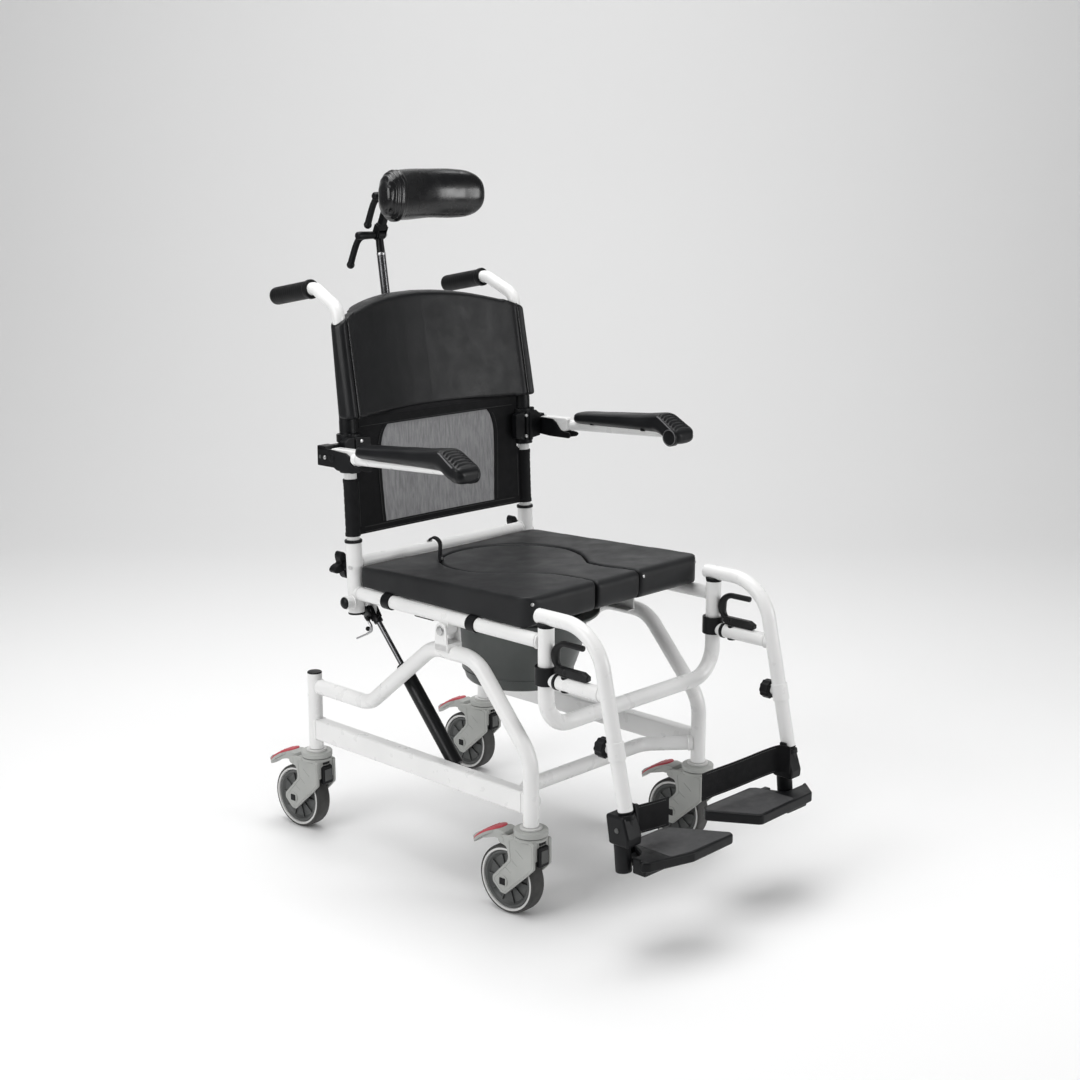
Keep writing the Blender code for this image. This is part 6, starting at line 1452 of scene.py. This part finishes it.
    S = Shape()
    rad = [0.010, 0.010, 0.006, 0.006, 0.006, 0.008, 0.008, 0.012, 0.012] if s < 0 else [0.006, 0.006, 0.006, 0.006, 0.008, 0.006, 0.006, 0.012, 0.012]
    S.slab(rounded(PLATES[side], rad, 6), 0.1570, 0.1750, 'XY', BLACK, b=0.0040, seg=4)
    tread = [(-0.016, -0.573), (-0.078, -0.472), (-0.102, -0.466), (-0.166, -0.466), (-0.1825, -0.4790), (-0.1825, -0.5625), (-0.135, -0.576)]
    if s > 0:
        tread = [(0.020, -0.474), (0.036, -0.457), (0.166, -0.457), (0.1825, -0.4720), (0.1825, -0.5544), (0.072, -0.558)]
    # tread over the top face in a lighter grey: real texture, with painted light falling on the top
    S.slab(rounded(inset(tread, 0.0062), 0.006, 6), 0.1742, 0.1754, 'XY', TREAD_AND_TOP_LIGHT, b=0.0004)
    S.box(s * 0.1660, s * 0.2230, -0.5170, -0.5450, 0.1475, 0.1745, BLACK, b=0.003)
    S.box(s * 0.1680, s * 0.1920, -0.4740, -0.4865, 0.1525, 0.1752, BLACK, b=0.002)
    S.box(s * 0.1680, s * 0.1920, -0.5075, -0.5300, 0.1525, 0.1752, BLACK, b=0.002)
    for y, d in ((-0.5256, -1), (-0.4748, 1)):
        S.lathe([(0.0050, -0.001), (0.0052, 0.0006), (0.0046, 0.0020), (0.0020, 0.0024)], (s * PX, y, PZ), (0, d, 0), BOLT, 24)
    S.lathe([(0.0044, 0), (0.0046, 0.0006), (0.0036, 0.0016)], (s * 0.2050, -0.5450, 0.1610), (0, -1, 0), BOLT, 24)
    piece("footplate_" + side, S, "footplate_" + side, "footplate_" + side, main=BLACK)

    if s < 0:
        line = smooth([(-0.2060, -0.4880, 0.2228), (-0.1850, -0.4925, 0.2228), (-0.1600, -0.4975, 0.2228), (-0.1380, -0.5015, 0.2228), (-0.1180, -0.5045, 0.2228)], 8)
    else:
        line = smooth([(0.2022, -0.5200, 0.2325), (0.2018, -0.5060, 0.2325), (0.1960, -0.4955, 0.2315), (0.1700, -0.4868, 0.2280), (0.1300, -0.4812, 0.2245), (0.0900, -0.4780, 0.2228), (0.0450, -0.4760, 0.2228), (0.0080, -0.4755, 0.2228)], 8)
    S = Shape()
    S.ribbon(line, (0, 0, 0.0505), 0.0028, WEB)
    for z in (-0.0218, 0.0218):
        stitches(S, [(p.x, p.y - 0.0016, p.z + z) for p in line[(2 if s < 0 else 18):-2]], 0.0042)
    # buckle
    if s < 0:
        b0, b1 = line[4], line[9]
        S.box(min(b0.x, b1.x), max(b0.x, b1.x), b0.y - 0.0042, b0.y + 0.0030, 0.1950, 0.2505, BLACK, b=0.0012,
              rot=Matrix.Rotation(math.atan2((b0 - b1).y, (b0 - b1).x), 3, 'Z'))
    piece("heel_strap_" + side, S, "footrest_" + side, "heel_strap_" + side, main=WEB)

# ------------------------------------------------------------------ floor, lights and camera
def plain(name, rgb, rough):
    m = bpy.data.materials.new(name)
    m.use_nodes = True
    b = m.node_tree.nodes["Principled BSDF"]
    b.inputs["Base Color"].default_value = (*rgb, 1)
    b.inputs["Roughness"].default_value = rough
    return m


def ground(name, verts, faces, mat, z):
    me = bpy.data.meshes.new(name)
    me.from_pydata(verts, [], faces)
    me.materials.append(mat)
    me.shade_smooth()
    ob = bpy.data.objects.new(name, me)
    bpy.context.scene.collection.objects.link(ob)
    return ob


pale = plain("pale_floor", (0.88, 0.88, 0.88), 0.6)
# one sheet that curves up behind the chair, turned to face the camera
a = math.atan2(0.6778, 0.7020)
prof = [(-6.0, 0.0), (2.6, 0.0)] + [(2.6 + 1.5 * math.sin(math.radians(t)), 1.5 - 1.5 * math.cos(math.radians(t))) for t in range(10, 91, 10)] + [(4.1, 6.0)]
vs, fs = [], []
for d, z in prof:
    for w in (-8.0, 8.0):
        vs.append((d * math.cos(a) - w * math.sin(a), d * math.sin(a) + w * math.cos(a), z - 0.0002))
for i in range(len(prof) - 1):
    fs.append((2 * i, 2 * i + 1, 2 * i + 3, 2 * i + 2))
ground("floor_and_backdrop", vs, fs, pale, 0)

scene = bpy.context.scene
world = bpy.data.worlds.new("studio")
world.use_nodes = True
bg = world.node_tree.nodes["Background"]
bg.inputs[0].default_value = (1.0, 1.0, 1.0, 1.0)
bg.inputs[1].default_value = 0.19
scene.world = world
scene.view_settings.view_transform = 'Standard'


def area(name, loc, target, size, power, size_y=None):
    la = bpy.data.lights.new(name, 'AREA')
    la.shape = 'RECTANGLE'
    la.size = size
    la.size_y = size_y or size
    la.energy = power
    ob = bpy.data.objects.new(name, la)
    bpy.context.scene.collection.objects.link(ob)
    ob.location = loc
    ob.rotation_euler = (Vector(target) - Vector(loc)).to_track_quat('-Z', 'Y').to_euler()
    return ob


area("overhead", (-0.2, 0.3, 3.0), (0, 0, 0.5), 2.4, 62)
area("key_left", (-3.0, 0.3, 1.9), (0, 0, 0.6), 1.8, 52)
area("front_right", (1.5, -3.0, 1.25), (0, 0, 0.7), 1.2, 40)
area("backdrop_wash", (1.2, 1.2, 4.2), (2.6, 2.6, 0.0), 2.5, 46)

cam = bpy.data.cameras.new("photo_camera")
cam.lens = 58.56
cam.sensor_width = 36.0
co = bpy.data.objects.new("photo_camera", cam)
scene.collection.objects.link(co)
co.location = (-2.2532, -2.1901, 1.3040)
co.rotation_euler = Vector((0.7020, 0.6778, -0.2184)).to_track_quat('-Z', 'Y').to_euler()
scene.camera = co

bpy.context.view_layer.update()
